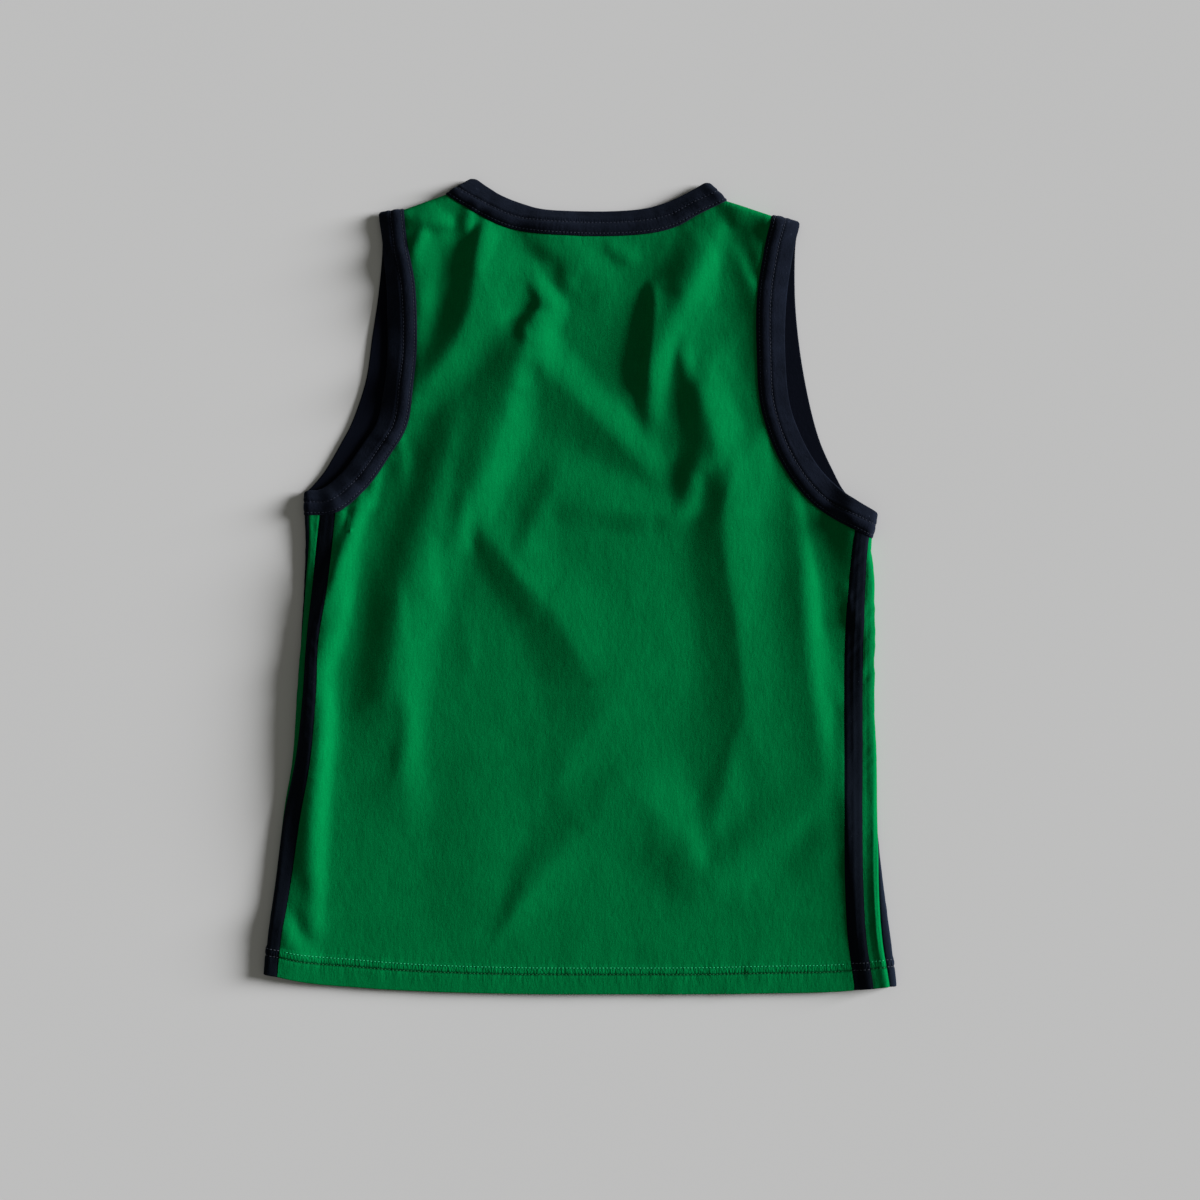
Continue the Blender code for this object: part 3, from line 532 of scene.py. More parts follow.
def shell(name, inner, out, deep, places, finishes, layer, ring=False):
    """The piece of cloth that stands for a solid, as a thin shell over a grid on its inner face. out and deep
    are how far its face and its back lie from that grid, places says where each point lies in the flat cloth
    and beside its seams, and layer says which way is outwards."""
    normal = normals_of(inner, ring)
    turned = np.sum(normal[..., 2] * layer) < 0.0
    if turned:
        inner, normal = inner[:, ::-1], -normal[:, ::-1]
        out, deep = out[:, ::-1], deep[:, ::-1]
        places = {kind: place[:, ::-1] for kind, place in places.items()}
    face = inner + normal * out[..., None]
    back = inner + normal * deep[..., None]
    rows, columns = inner.shape[:2]
    count = rows * columns
    number = np.arange(count).reshape(rows, columns)
    sides = [closed(number[:, end]) if ring else number[:, end] for end in (0, -1)]
    front_faces = grid_faces(rows, columns, ring)
    back_faces = grid_faces(rows, columns, ring, count)[:, ::-1]
    rims = [rim_faces(sides[0], count)[:, ::-1], rim_faces(sides[1], count)]
    if not ring:
        rims += [rim_faces(number[0], count), rim_faces(number[-1], count)[:, ::-1]]
    rim = np.concatenate(rims)
    kinds = np.concatenate([np.zeros(len(front_faces)), np.ones(len(back_faces)), np.zeros(len(rim))])
    points = np.concatenate([face.reshape(-1, 3), back.reshape(-1, 3)])
    faces = np.concatenate([front_faces, back_faces, rim])
    made = made_mesh(f"{name}_cloth", points, faces, finishes, kinds)
    for kind, place in places.items():
        found = made.data.attributes.new(kind, "FLOAT_VECTOR", "POINT")
        flat = np.concatenate([place * MM, np.zeros((rows, columns, 1))], axis=-1).reshape(-1, 3)
        found.data.foreach_set("vector", np.concatenate([flat, flat]).astype(np.float32).ravel())
    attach(made, "root")
    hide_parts(name)
    if turned:
        face, normal = face[:, ::-1], normal[:, ::-1]
    return made, face, normal


def folded_rim(distance, radius):
    """How much of its thickness a folded edge keeps this far in from it."""
    return np.sqrt(1.0 - (1.0 - np.clip(distance / radius, 0.0, 1.0)) ** 2)


def nearest(values, wanted):
    """Which of a row of values lies nearest to each that is wanted."""
    return [int(np.argmin(np.abs(values - value))) for value in wanted]


def drawn_together(out, deep, keep):
    """Face and back of the cloth, with this share of its thickness kept."""
    middle = (out + deep) / 2.0
    return middle + (out - middle) * keep, middle + (deep - middle) * keep


# --- thread ---

STITCH_PARTS = table(
    "share  lift  radius",
    [(0.0, -0.30, 0.45), (0.18, 0.10, 0.95), (0.5, 0.18, 1.0), (0.82, 0.10, 0.95), (1.0, -0.30, 0.45)],
)
STITCH_SIDES = 6


def stitches(rows, name, finish, seed):
    """Rows of stitches on the cloth, each row a line of points with its normals."""
    points, faces, first = [], [], 0
    rings, sides = len(STITCH_PARTS["share"]), STITCH_SIDES
    turn = np.arange(sides) / sides * 2.0 * np.pi
    random = np.random.default_rng(seed)
    for line, normal in rows:
        reached = lengths_along(line)
        count = int(reached[-1] / STITCH_PITCH)
        start = (np.arange(count) + 0.15) * STITCH_PITCH + random.uniform(-0.12, 0.12, count)
        at = start[:, None] + STITCH_LENGTH * STITCH_PARTS["share"]
        place, up = read_line(at, reached, line), read_line(at, reached, normal)
        ahead = np.gradient(place, axis=1)
        ahead /= np.linalg.norm(ahead, axis=-1, keepdims=True)
        side = np.cross(ahead, up)
        side /= np.linalg.norm(side, axis=-1, keepdims=True)
        place = place + up * STITCH_PARTS["lift"][:, None]
        radius = THREAD * STITCH_PARTS["radius"][None, :, None, None]
        ring = side[:, :, None] * np.cos(turn)[:, None] + up[:, :, None] * np.sin(turn)[:, None]
        points.append((place[:, :, None] + ring * radius).reshape(-1, 3))
        part, corner = np.meshgrid(np.arange(rings - 1), np.arange(sides), indexing="ij")
        here = (part * sides + corner).ravel()
        beside = (part * sides + (corner + 1) % sides).ravel()
        one = np.stack([here, here + sides, beside + sides, beside], axis=-1)
        ends = np.array([[0, 1, 2, 5], [5, 2, 3, 4]])
        one = np.concatenate([one, ends, ends[:, ::-1] + (rings - 1) * sides])
        each = first + np.arange(count)[:, None, None] * rings * sides
        faces.append((one[None] + each).reshape(-1, 4))
        first += count * rings * sides
    made = made_mesh(name, np.concatenate(points), np.concatenate(faces), [finish], smooth_angle=80.0)
    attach(made, "root")


# --- the seams of one side ---


def from_fold(girth):
    """How far in from a side fold a point lies that is this far round the garment from it."""
    turn = np.minimum(np.abs(girth) / FOLD_REACH, np.pi / 2.0)
    return FOLD_REACH * (1.0 - np.cos(turn)) + np.abs(girth) - FOLD_REACH * turn


def seam_girth(side, seam, y):
    """How far round from the fold a seam lies: back, upper or lower, or front at the front panel."""
    if seam == "front":
        return seam_girth(side, "lower", y) - STRIPE_WIDTH
    return smooth(SIDES["y"], SIDES[f"{side}_{seam}"], y)


def armhole_lines(side, layer, at):
    """The seam and the outer edge of an armhole binding on one layer."""
    rows = ARMHOLES[side]
    seam = route(rows, "seam_x", "seam_y", at)
    edge = route(rows, "edge_x", "edge_y", at)
    if layer > 0:
        return seam, edge
    front = route(rows, "front_x", "front_y", at)
    return front + seam - edge, front


def near_underarm(side, layer):
    """Near the underarm, stations along the armhole seam and how far in from the side fold each one lies."""
    at = np.linspace(0.6, 1.0, 600) * LAST_ROW[side]
    seam = armhole_lines(side, layer, at)[0]
    return at, seam, np.abs(seam[:, 0] - side_fold_x(side, seam[:, 1]))


def top_y(side, girth):
    """Top end of a strip, just under the armhole binding."""
    found = np.zeros(np.shape(girth))
    for layer in (1, -1):
        seam, inset = near_underarm(side, layer)[1:]
        order = np.argsort(inset)
        height = np.interp(from_fold(girth), inset[order], seam[order, 1])
        found = np.where(np.sign(girth + 1e-9) == layer, height, found)
    return found


def corner_station(side, layer):
    """Where along the armhole the panel's seam with the stripe meets it."""
    at, seam, inset = near_underarm(side, layer)
    girth = seam_girth(side, "back" if layer > 0 else "front", seam[:, 1])
    return at[np.argmin(np.abs(inset - from_fold(girth)))]


def close_to_folds(length, pitch, starts, ends):
    """Lengths along a line at an even pitch, closer together at an end that is folded."""
    turn = FOLD_REACH * (1.0 - np.cos(np.radians([0.0, 15.0, 30.0, 45.0, 60.0, 75.0, 90.0])))
    low = turn if starts else np.array([0.0])
    high = length - turn[::-1] if ends else np.array([length])
    count = max(int(round((high[0] - low[-1]) / pitch)), 1)
    middle = np.linspace(low[-1], high[0], count + 1)[1:-1]
    return np.concatenate([low, middle, high])


def stations_along(line, at, pitch, starts, ends):
    """Stations of a line, given as dense points and their stations, at an even pitch along it."""
    reached = lengths_along(line)
    return np.interp(close_to_folds(reached[-1], pitch, starts, ends), reached, at)


def armhole_stations(side, layer, low, high, pitch, starts, ends):
    """Stations of an armhole seam between two rows of its table."""
    dense = np.linspace(low, high, 1500)
    return stations_along(armhole_lines(side, layer, dense)[0], dense, pitch, starts, ends)


def body_heights(length, pitch):
    """How high above the hem's edge the rows of a panel or strip lie, with a row on each line of stitches."""
    edge = [0.0, 0.12, 0.4, 0.9, 1.8]
    hem = np.linspace(3.0, HEM_ROWS[0] - 1.5, 9)
    rows = [HEM_ROWS[0] - 0.7, HEM_ROWS[0], HEM_ROWS[0] + 0.7]
    rows += list(np.linspace(*HEM_ROWS, 6)[1:-1]) + [HEM_ROWS[1] - 0.6, HEM_ROWS[1], HEM_ROWS[1] + 0.6]
    rows = sorted(set(np.round(rows, 3))) + [HEM_DEPTH + 0.4, HEM_DEPTH + 1.2, HEM_DEPTH + 2.2]
    count = int((length - HEM_DEPTH - 4.0) / pitch)
    return np.concatenate([edge, hem, rows, np.linspace(HEM_DEPTH + 4.0, length, count)])


# --- walls ---


def hem_wall(above):
    """Face and back of the cloth this far above the hem's edge, and the room it takes: double below the raw
    edge, folded at the foot."""
    double = 1.0 - soft_step((above - HEM_DEPTH) / 3.0 + 0.5)
    wall = CLOTH + (HEM - CLOTH) * double
    out = wall + 0.20 * bump(above - np.mean(HEM_ROWS), 2.0)
    deep = CLOTH - JERSEY - 0.1 * double
    for row, sunk in zip(HEM_ROWS, HEM_SUNK):
        out = out - sunk * bump(above - row, 0.9)
    return *drawn_together(out, deep, folded_rim(above, (out - deep) / 2.0)), wall


def hem_drags(along, above, seed):
    """The uneven pull of the hem's stitches on the cloth above and below them."""
    drags = waver(along - 0.5 * (above - 20.0), 8.0, seed) * bump(above - 19.0, 9.0)
    edge = waver(along, 16.0, seed + 1) * bump(above, 12.0)
    return 0.24 * drags + 0.30 * edge


# --- panels ---

PANEL_PITCH = {1: (2.6, 2.8, 166), -1: (4.2, 4.6, 96)}  # up the body, up the armhole, and columns across
SHOULDER_SHARE = 0.09  # of the columns, on each shoulder
NECK_SPAN = 240.0  # about the length of the neck seam, shared out over the other columns


def strip_line(side, seam, share):
    """A seam at these shares of its length from the hem up to the underarm."""
    y = np.full(len(share), SIDES["y"][0])
    for _ in range(5):  # the seam's place and the height of its rows settle on each other
        girth = seam_girth(side, seam, y)
        line = np.stack([side_fold_x(side, y) + INWARD[side] * from_fold(girth), y], axis=-1)
        low, high = hem_y(line[0, 0]), top_y(side, girth[-1:])[0]
        y = low + share * (high - low)
    return line, girth


def seam_height(side, seam):
    """How high above the hem a seam ends under the armhole binding."""
    line = strip_line(side, seam, np.array([0.0, 1.0]))[0]
    return line[1, 1] - line[0, 1]


def front_neck(at):
    """The front neck's seam and the outer edge of its binding, a scoop; at counts as on the back neck."""
    turn = np.pi * at / NECK_LAST
    start = np.array([NECK["seam_x"][0], NECK["seam_y"][0]])
    end = np.array([NECK["seam_x"][-1], NECK["seam_y"][-1]])
    share = 0.5 * at / NECK_LAST + 0.5 * (0.5 - 0.5 * np.cos(turn))
    seam = start + (end - start) * share[:, None]
    seam[:, 1] -= FRONT_NECK_DROP * np.sin(turn)
    tangent = np.gradient(seam, axis=0)
    across = np.stack([-tangent[:, 1], tangent[:, 0]], axis=-1)
    across *= NECK_BINDING_WIDTH / np.linalg.norm(across, axis=-1, keepdims=True)
    for row, near in ((0, at), (-1, NECK_LAST - at)):
        folded = np.array([NECK[f"edge_{axis}"][row] - NECK[f"seam_{axis}"][row] for axis in "xy"])
        blend = np.clip(1.0 - near / NECK_TURN, 0.0, 1.0)[:, None] ** 2
        across = across * (1.0 - blend) + folded * blend
    return seam, seam + across


def neck_lines(layer, at):
    """The seam and the outer edge of the neck binding on one layer."""
    if layer > 0:
        return route(NECK, "seam_x", "seam_y", at), route(NECK, "edge_x", "edge_y", at)
    dense = np.linspace(0.0, NECK_LAST, 1200)
    return [read_line(at, dense, line) for line in front_neck(dense)]


def neck_stations(layer, pitch):
    """Stations of the neck seam, at an even pitch along it."""
    dense = np.linspace(0.0, NECK_LAST, 1500)
    return stations_along(neck_lines(layer, dense)[0], dense, pitch, True, True)


def shares_along(line):
    """How far each value of a row lies from its first to its last, from 0 to 1."""
    reached = np.concatenate([[0.0], np.cumsum(np.abs(np.diff(line)))])
    return reached / reached[-1]


def panel(name, layer, finishes, seed):
    """A panel between its side edges, its top edge and its hem, evenly spread between all four."""
    up_pitch, yoke_pitch, columns = PANEL_PITCH[layer]
    seam = "back" if layer > 0 else "front"
    tall = seam_height("left", seam)
    heights = body_heights(tall, up_pitch)
    yokes = {
        side: armhole_stations(side, layer, 0.0, corner_station(side, layer), yoke_pitch, True, False)[::-1]
        for side in INWARD
    }
    edges = []
    for side, stations in yokes.items():
        body = strip_line(side, seam, heights / tall)[0]
        shares = [np.linspace(0, 1, len(yoke)) for yoke in (yokes["left"], stations)]
        armhole = armhole_lines(side, layer, np.interp(*shares, stations))[0]
        edges.append(np.concatenate([body, armhole[1:]]))
    left, right = edges
    shoulder = max(int(columns * SHOULDER_SHARE), 4)
    neck = neck_lines(layer, neck_stations(layer, NECK_SPAN / (columns - 2 * shoulder)))[0]
    share = np.linspace(0.0, 1.0, shoulder + 1)[:, None]
    top = [left[-1] + (neck[0] - left[-1]) * share[:-1], neck, neck[-1] + (right[-1] - neck[-1]) * share[1:]]
    top = np.concatenate(top)
    across = shares_along(top[:, 0])
    up = shares_along(left[:, 1] + right[:, 1])
    hem_x = left[0, 0] + (right[0, 0] - left[0, 0]) * across
    hem = np.stack([hem_x, hem_y(hem_x)], axis=-1)
    hem[0], hem[-1] = left[0], right[0]
    c, v = across[None, :, None], up[:, None, None]
    plan = (1 - c) * left[:, None] + c * right[:, None] + (1 - v) * hem[None] + v * top[None]
    plan -= (1 - v) * ((1 - c) * hem[0] + c * hem[-1]) + v * ((1 - c) * top[0] + c * top[-1])
    x, y = plan[..., 0], plan[..., 1]
    above = np.clip(y - hem_y(x), 0.0, lengths_along(left)[:, None])
    above[: len(heights)] = heights[:, None]
    out, deep, wall = hem_wall(above)
    line = np.concatenate([left, top[1:], right[::-1][1:]])
    distance, _, along = from_line(x, y, line[:: max(len(line) // 200, 1)])
    run = along * lengths_along(line)[-1]
    out = out - SEAM_SUNK["panel"] * bump(distance, SEAM_REACH["panel"]) * (above > HEM_DEPTH)
    points = inner_face(plan, layer, wall)
    if layer > 0:
        drawn = 0.18 + 0.5 * bump(np.hypot(x + 200.0, y - 62.0), 45.0)  # most of all under the left arm
        points[..., 2] += hem_drags(x, above, seed)
        points[..., 2] += drawn * waver(run, 7.5, seed + 7) * np.exp(-distance / 11.0)
    else:
        out = np.minimum(out, wall)
    places = {"weave": plan, "edge": np.stack([run, distance], axis=-1), "hem": np.stack([x, above], axis=-1)}
    made, face, normal = shell(name, points, out, deep, places, finishes, layer)
    return made, [(face[row, 1:-1], normal[row, 1:-1]) for row in nearest(heights, HEM_ROWS)]


# --- strips ---

STRIP_COLUMNS = 20
STRIP_PITCH = 2.2

RUMPLED = {"side_strip_right": 2.4}  # where a strip is more wrinkled below the underarm than the usual
RUMPLED_USUAL = 0.9

# Lines that stand up along a strip where the seams' turned edges lie under it: how far across, from its first
# seam to its second, how high, how much higher still near the hem, and how wide.
FRONT_STRIPE_RIDGES = [(0.10, 0.25, 0, 1.0), (0.5, 0.2, 0, 2.5), (0.94, -0.2, 0, 1.2)]
STRIP_RIDGES = {
    name: table("across  height  low  reach", rows)
    for name, rows in {
        "back_stripe_left": [(0.06, -0.25, 0, 1.2), (0.60, 0.30, 0, 1.6), (0.94, -0.25, 0, 1.2)],
        "back_stripe_right": [(0.05, -0.30, 0, 1.4), (0.50, 0.50, 0, 1.3), (0.94, -0.25, 0, 1.2)],
        "side_strip_left": [(0.14, 0.22, 0, 0.7), (0.48, -0.30, 0, 2.0), (0.88, 0.15, 0, 0.8)],
        "side_strip_right": [
            (0.20, -0.45, -0.2, 2.4), (0.64, 0.50, 0, 0.9), (0.74, 0, 2.1, 4.2), (0.90, 0.40, 0, 0.8)
        ],
        "front_stripe_left": FRONT_STRIPE_RIDGES,
        "front_stripe_right": FRONT_STRIPE_RIDGES,
    }.items()
}
LOW_REACH = 190.0  # how far up from the hem the extra height goes


def side_piece(name, side, seams, finishes, seed):
    """A strip or stripe between two seams, carried round the side fold."""
    tall = seam_height(side, seams[0])
    share_up = body_heights(tall, STRIP_PITCH) / tall
    start_plan, start = strip_line(side, seams[0], share_up)
    end_plan, end = strip_line(side, seams[1], share_up)
    share = 0.5 - 0.5 * np.cos(np.linspace(0.0, np.pi, STRIP_COLUMNS + 1))
    share = 0.5 * share + 0.5 * np.linspace(0.0, 1.0, STRIP_COLUMNS + 1)
    girth = start[:, None] + (end - start)[:, None] * share
    y = start_plan[:, 1:] + (end_plan[:, 1] - start_plan[:, 1])[:, None] * share
    y = y + (top_y(side, girth[-1]) - y[-1])[None, :] * soft_step((share_up[:, None] - 0.9) / 0.1)
    edge = from_fold(girth)
    plan = np.stack([side_fold_x(side, y) + INWARD[side] * edge, y], axis=-1)
    above = np.repeat((share_up * tall)[:, None], STRIP_COLUMNS + 1, axis=1)
    out, deep, wall = hem_wall(above)
    width = np.abs(end - start)[:, None]
    distance = np.minimum(share, 1.0 - share) * width
    out = out - SEAM_SUNK["strip"] * bump(distance, SEAM_REACH["strip"])
    for across, height, low, reach in zip(*STRIP_RIDGES[name].values()):
        fading = (0.75 + 0.45 * waver(y, 26.0, seed + int(100 * across))) * (above > HEM_DEPTH)
        out = out + (height * fading + low * bump(above, LOW_REACH)) * bump((share - across) * width, reach)
    wrinkle = waver(y + 1.1 * girth, 6.0, seed) * np.sin(np.pi * share)
    out = out + 0.34 * wrinkle * (0.35 + RUMPLED.get(name, RUMPLED_USUAL) * bump(y + 30.0, 80.0))
    out = np.where(girth < -1.0, np.minimum(out, wall), out)
    layer = np.where(girth > 0.0, 1.0, -1.0)
    points = inner_face(plan, layer, wall, edge)
    places = {"weave": (girth, y), "edge": (y, distance), "hem": (girth, above)}
    places = {kind: np.stack(place, axis=-1) for kind, place in places.items()}
    normal = normals_of(points, False)
    facing = np.sum(normal[..., 2] * layer * (edge > FOLD_REACH)) - INWARD[side] * np.sum(normal[..., 0])
    outwards = np.sign(normal[..., 2]) * np.sign(facing)
    made, face, normal = shell(name, points, out, deep, places, finishes, outwards)
    return made, [(face[row], normal[row]) for row in nearest(share_up * tall, HEM_ROWS)]


# --- bindings ---

BINDING_PITCH = 1.5
BINDING_STITCHES = (3.0, 11.0)  # how far from the seam the two rows of stitches run
BINDING_SUNK = 0.45  # how deep each row is drawn in
BINDING_SUNK_REACH = 1.15
BINDING_ACROSS = np.array([
    0.0, 0.35, 0.8, 1.4, 2.0, 2.5, 3.0, 3.5, 4.2, 5.2, 6.6,
    8.0, 9.2, 10.0, 10.5, 11.0, 11.5, 12.2, 13.2, 14.5, 16.0, 17.2,
])
BINDING_RIM = np.array([3.2, 2.2, 1.5, 1.0, 0.6, 0.3, 0.1, 0.0])  # columns in from the outer edge
BINDING_ROLL = 2.3  # how much a binding stands up beside its seam; its outer edge lies on what is below
BINDING_ROLL_REACH = 4.0
BINDING_ROUND = 0.95  # of its folded outer edge
BINDING_RIDGES = table("across  height  reach", [(7.4, 0.22, 2.4), (13.2, 0.26, 1.3)])
NO_HEM = 900.0  # height above a hem, for cloth that has none
ARMHOLE_CORNER = 1.2  # round of a binding's outer edge at each fold
NECK_CORNER = 3.5


def binding(name, lines, stations, finishes, corner, seed):
    """A binding ring: over the back from its first fold to its last, then on round the front."""
    over, under = stations(1), stations(-1)[::-1][1:-1]
    seam, edge = (np.concatenate(halves) for halves in zip(lines(1, over), lines(-1, under)))
    layer = np.repeat([1.0, -1.0], [len(over), len(under)])
    turned = lengths_along(closed(edge))
    ends = [turned[index] for index in np.flatnonzero(layer != np.roll(layer, 1))] + [turned[-1]]
    from_end = np.min([np.abs(turned[:-1] - end) for end in ends], axis=0)
    full = np.linalg.norm(edge - seam, axis=-1)
    edge = edge - (edge - seam) * (corner * (1.0 - folded_rim(from_end, corner)) / full)[:, None]
    width = np.linalg.norm(edge - seam, axis=-1)[:, None]
    middle = BINDING_ACROSS * np.minimum(1.0, (width - (BINDING_RIM[0] + 0.4)) / BINDING_ACROSS[-1])
    across = np.concatenate([middle, width - BINDING_RIM], axis=1)
    share = across / width
    plan = seam[:, None] + (edge - seam)[:, None] * share[..., None]
    layer = np.repeat(layer[:, None], across.shape[1], axis=1)
    run = np.repeat(lengths_along(closed(seam))[:-1, None], across.shape[1], axis=1)
    below = BINDING + LAYER_GAP + 0.1 + read_relief(FRONT_RELIEF, plan[..., 0], plan[..., 1])
    beside = upper_height(plan[:, :1, 0], plan[:, :1, 1])
    roll = BINDING_ROLL * (1.0 - bump(across, BINDING_ROLL_REACH))
    rise = underarm_rise(plan[..., 0], plan[..., 1])
    upper = below + (np.maximum(beside - rise[:, :1] - below, 0.0) + roll) * (1.0 - share**2) + rise
    points = inner_face(plan, layer, BINDING, upper=upper)
    out = BINDING - SEAM_SUNK["binding"] * bump(across, SEAM_REACH["binding"])
    for at in BINDING_STITCHES:
        out = out - BINDING_SUNK * bump(across - at, BINDING_SUNK_REACH)
    for at, height, reach in zip(*BINDING_RIDGES.values()):
        out = out + height * bump(across - at, reach)
    puckers = waver(run + 0.5 * across, 4.2, seed) * bump(across - 6.4, 4.0) * 0.05
    puckers = puckers + waver(run - 0.4 * across, 9.0, seed + 1) * bump(across - 14.0, 8.0) * 0.16
    out = out + puckers
    out = np.where(layer < 0.0, np.minimum(out, BINDING), out)
    out, deep = drawn_together(out, np.full(out.shape, 0.1), folded_rim(width - across, BINDING_ROUND))
    beside_rows = np.abs(across - np.mean(BINDING_STITCHES))
    places = {"weave": (across, run), "edge": (run, beside_rows), "hem": (run, np.full(run.shape, NO_HEM))}
    places = {kind: np.stack(place, axis=-1) for kind, place in places.items()}
    made, face, normal = shell(name, points, out, deep, places, finishes, layer, ring=True)
    columns = nearest(BINDING_ACROSS, BINDING_STITCHES)
    return made, [(closed(face[:, column]), closed(normal[:, column])) for column in columns]


def armhole_binding(side, finishes, seed):
    """From the shoulder fold down the back to the underarm fold, and up the front."""
    return binding(
        f"armhole_binding_{side}",
        lambda layer, at: armhole_lines(side, layer, at),
        lambda layer: armhole_stations(side, layer, 0.0, LAST_ROW[side], BINDING_PITCH, True, True),
        finishes, ARMHOLE_CORNER, seed,
    )


def neck_binding(finishes, seed):
    """From the left shoulder fold across the back to the right one, and back round the front."""
    stations = lambda layer: neck_stations(layer, BINDING_PITCH)
    return binding("neck_binding", neck_lines, stations, finishes, NECK_CORNER, seed)


# --- finishes ---


class Nodes:
    """Short calls for laying out the nodes of one tree."""

    def __init__(self, tree):
        self.tree = tree
        self.count = 0

    def add(self, kind, settings=None, **inputs):
        node = self.tree.nodes.new(kind)
        node.location = (self.count % 8 * 190, -(self.count // 8) * 260)
        self.count += 1
        for name, value in (settings or {}).items():
            setattr(node, name, value)
        for name, value in inputs.items():
            numbered = name[0] == "i" and name[1:].isdigit()
            socket = node.inputs[int(name[1:]) if numbered else name.replace("_", " ")]
            if isinstance(value, bpy.types.NodeSocket):
                self.tree.links.new(value, socket)
            else:
                socket.default_value = value
        return node

    def math(self, operation, *values):
        numbered = {f"i{number}": value for number, value in enumerate(values)}
        return self.add("ShaderNodeMath", {"operation": operation}, **numbered).outputs[0]

    def times(self, *values):
        return self.math("MULTIPLY", *values)

    def plus(self, *values):
        return self.math("ADD", *values)

    def less(self, *values):
        return self.math("SUBTRACT", *values)

    def noise(self, vector, detail, roughness=0.5):
        node = self.add("ShaderNodeTexNoise", Vector=vector, Scale=1.0, Detail=detail, Roughness=roughness)
        return node.outputs["Fac"]

    def scaled(self, vector, *factors):
        node = self.add("ShaderNodeVectorMath", {"operation": "MULTIPLY"}, i0=vector)
        node.inputs[1].default_value = factors
        return node.outputs[0]

    def ranged(self, value, *limits):
        """A value carried from one range to another: the two ends of the first, then of the second."""
        node = self.add("ShaderNodeMapRange", Value=value)
        for socket, limit in zip(node.inputs[1:5], limits):
            socket.default_value = limit
        return node.outputs[0]

    def dyed(self, colour, shade):
        """A colour, darker or lighter by its shade."""
        node = self.add("ShaderNodeVectorMath", {"operation": "SCALE"}, i0=colour)
        self.tree.links.new(shade, node.inputs["Scale"])
        return node.outputs[0]


def new_group(name, inputs, outputs):
    """An empty group, to be filled by short calls, and what it is given: a factor for each input with a start
    value, and a place on the cloth for each without one."""
    tree = bpy.data.node_groups.new(name, "ShaderNodeTree")
    for given, start in inputs.items():
        kind = "NodeSocketVector" if start is None else "NodeSocketFloat"
        socket = tree.interface.new_socket(name=given, in_out="INPUT", socket_type=kind)
        if start is not None:
            socket.default_value = start
    for made in outputs:
        tree.interface.new_socket(name=made, in_out="OUTPUT", socket_type="NodeSocketFloat")
    n = Nodes(tree)
    return n, n.add("NodeGroupInput").outputs


def jersey_group():
    """Plain knitted jersey: columns of loops, uneven yarn, and the down that stands off it."""
    inputs = {
        "Weave": None, "Wale": 0.9, "Uneven yarn": 0.1, "Mottle": 0.06, "Down": 0.08, "Crumple": 0.06,
        "Fold wear": 0.0,
    }
    n, given = new_group("Jersey knit", inputs, ("Shade", "Height", "Creases"))
    cloth = n.scaled(given["Weave"], 1000.0, 1000.0, 1000.0)
    split = n.add("ShaderNodeSeparateXYZ", Vector=cloth).outputs
    wale = n.math("FRACT", n.math("DIVIDE", split["X"], given["Wale"]))
    off = n.times(n.math("ABSOLUTE", n.less(wale, 0.5)), 2.0)
    course = n.math("DIVIDE", split["Y"], n.times(given["Wale"], 0.75))
    course = n.plus(course, n.times(off, 0.6))
    loop = n.math("SINE", n.times(course, 2.0 * math.pi))
    rib = n.less(1.0, n.times(off, off))
    knit = n.plus(n.times(rib, 0.7), n.times(loop, 0.15))
    streak = n.noise(n.scaled(cloth, 0.62, 0.07, 1.0), 4.0, 0.65)
    patch = n.noise(n.scaled(cloth, 0.06, 0.05, 1.0), 3.0)
    down = n.noise(n.scaled(cloth, 1.1, 0.8, 1.0), 4.0, 0.75)
    shade = 1.0
    for value, amount in ((streak, "Uneven yarn"), (patch, "Mottle"), (down, "Down")):
        strength = n.times(given[amount], 4.0)
        shade = n.plus(shade, n.times(n.less(value, 0.5), strength))
    dip = n.times(n.less(1.0, rib), 0.12)
    shade = n.less(shade, dip)
    # Painted highlight: the cloth is made lighter close to the side fold, where it turns towards the light.
    girth = n.math("DIVIDE", split["X"], 5.5)
    highlight_band = n.math("EXPONENT", n.times(n.times(girth, girth), -1.0))
    shade = n.plus(shade, n.times(highlight_band, given["Fold wear"]))
    height = n.plus(knit, n.times(down, 0.6))
    creases = n.noise(n.scaled(cloth, 0.20, 0.10, 1.0), 5.0, 0.74)
    creases = n.times(n.less(creases, 0.5), given["Crumple"])
    n.add("NodeGroupOutput", Shade=shade, Height=height, Creases=creases)
    return n.tree


def lint_group():
    """Short pale fibres caught on the cloth, few and small."""
    n, given = new_group("Lint", {"Weave": None, "Amount": 0.3}, ("Mask",))
    cloth = n.scaled(given["Weave"], 1000.0, 1000.0, 1000.0)
    fine = n.noise(n.scaled(cloth, 0.9, 0.5, 1.0), 1.0)
    wide = n.noise(n.scaled(cloth, 0.11, 0.11, 1.0), 1.0)
    speck = n.ranged(fine, 0.72, 0.8, 0.0, 1.0)
    here = n.ranged(wide, 0.5, 0.7, 0.0, 1.0)
    n.add("NodeGroupOutput", Mask=n.times(speck, n.times(here, given["Amount"])))
    return n.tree


# Drags beside the seams, or over the hem where hem is 1: drawn by the cloth's pull or, where ticks is 1, as
# the short ticks of a binding's stitches. Each has its size along and across the row, how far from the seam or
# above the hem's edge its middle lies, how far it reaches from there and how high it is.
DRAGS = table("hem  ticks  along  across  middle  reach  height", [
    (0, 0, 3.6, 14.0, 0.0, 7.0, 0.10),
    (0, 1, 1.4, 6.0, 5.0, 1.6, 0.16),
    (1, 0, 1.7, 5.0, 19.6, 3.2, 0.42),
    (1, 0, 5.0, 16.0, 18.0, 10.0, 0.30),
])
# The shade in the rows of stitches above the hem's edge.
GROOVES = table("middle  reach  depth", [(16.9, 1.05, 0.80), (22.7, 0.7, 0.20)])


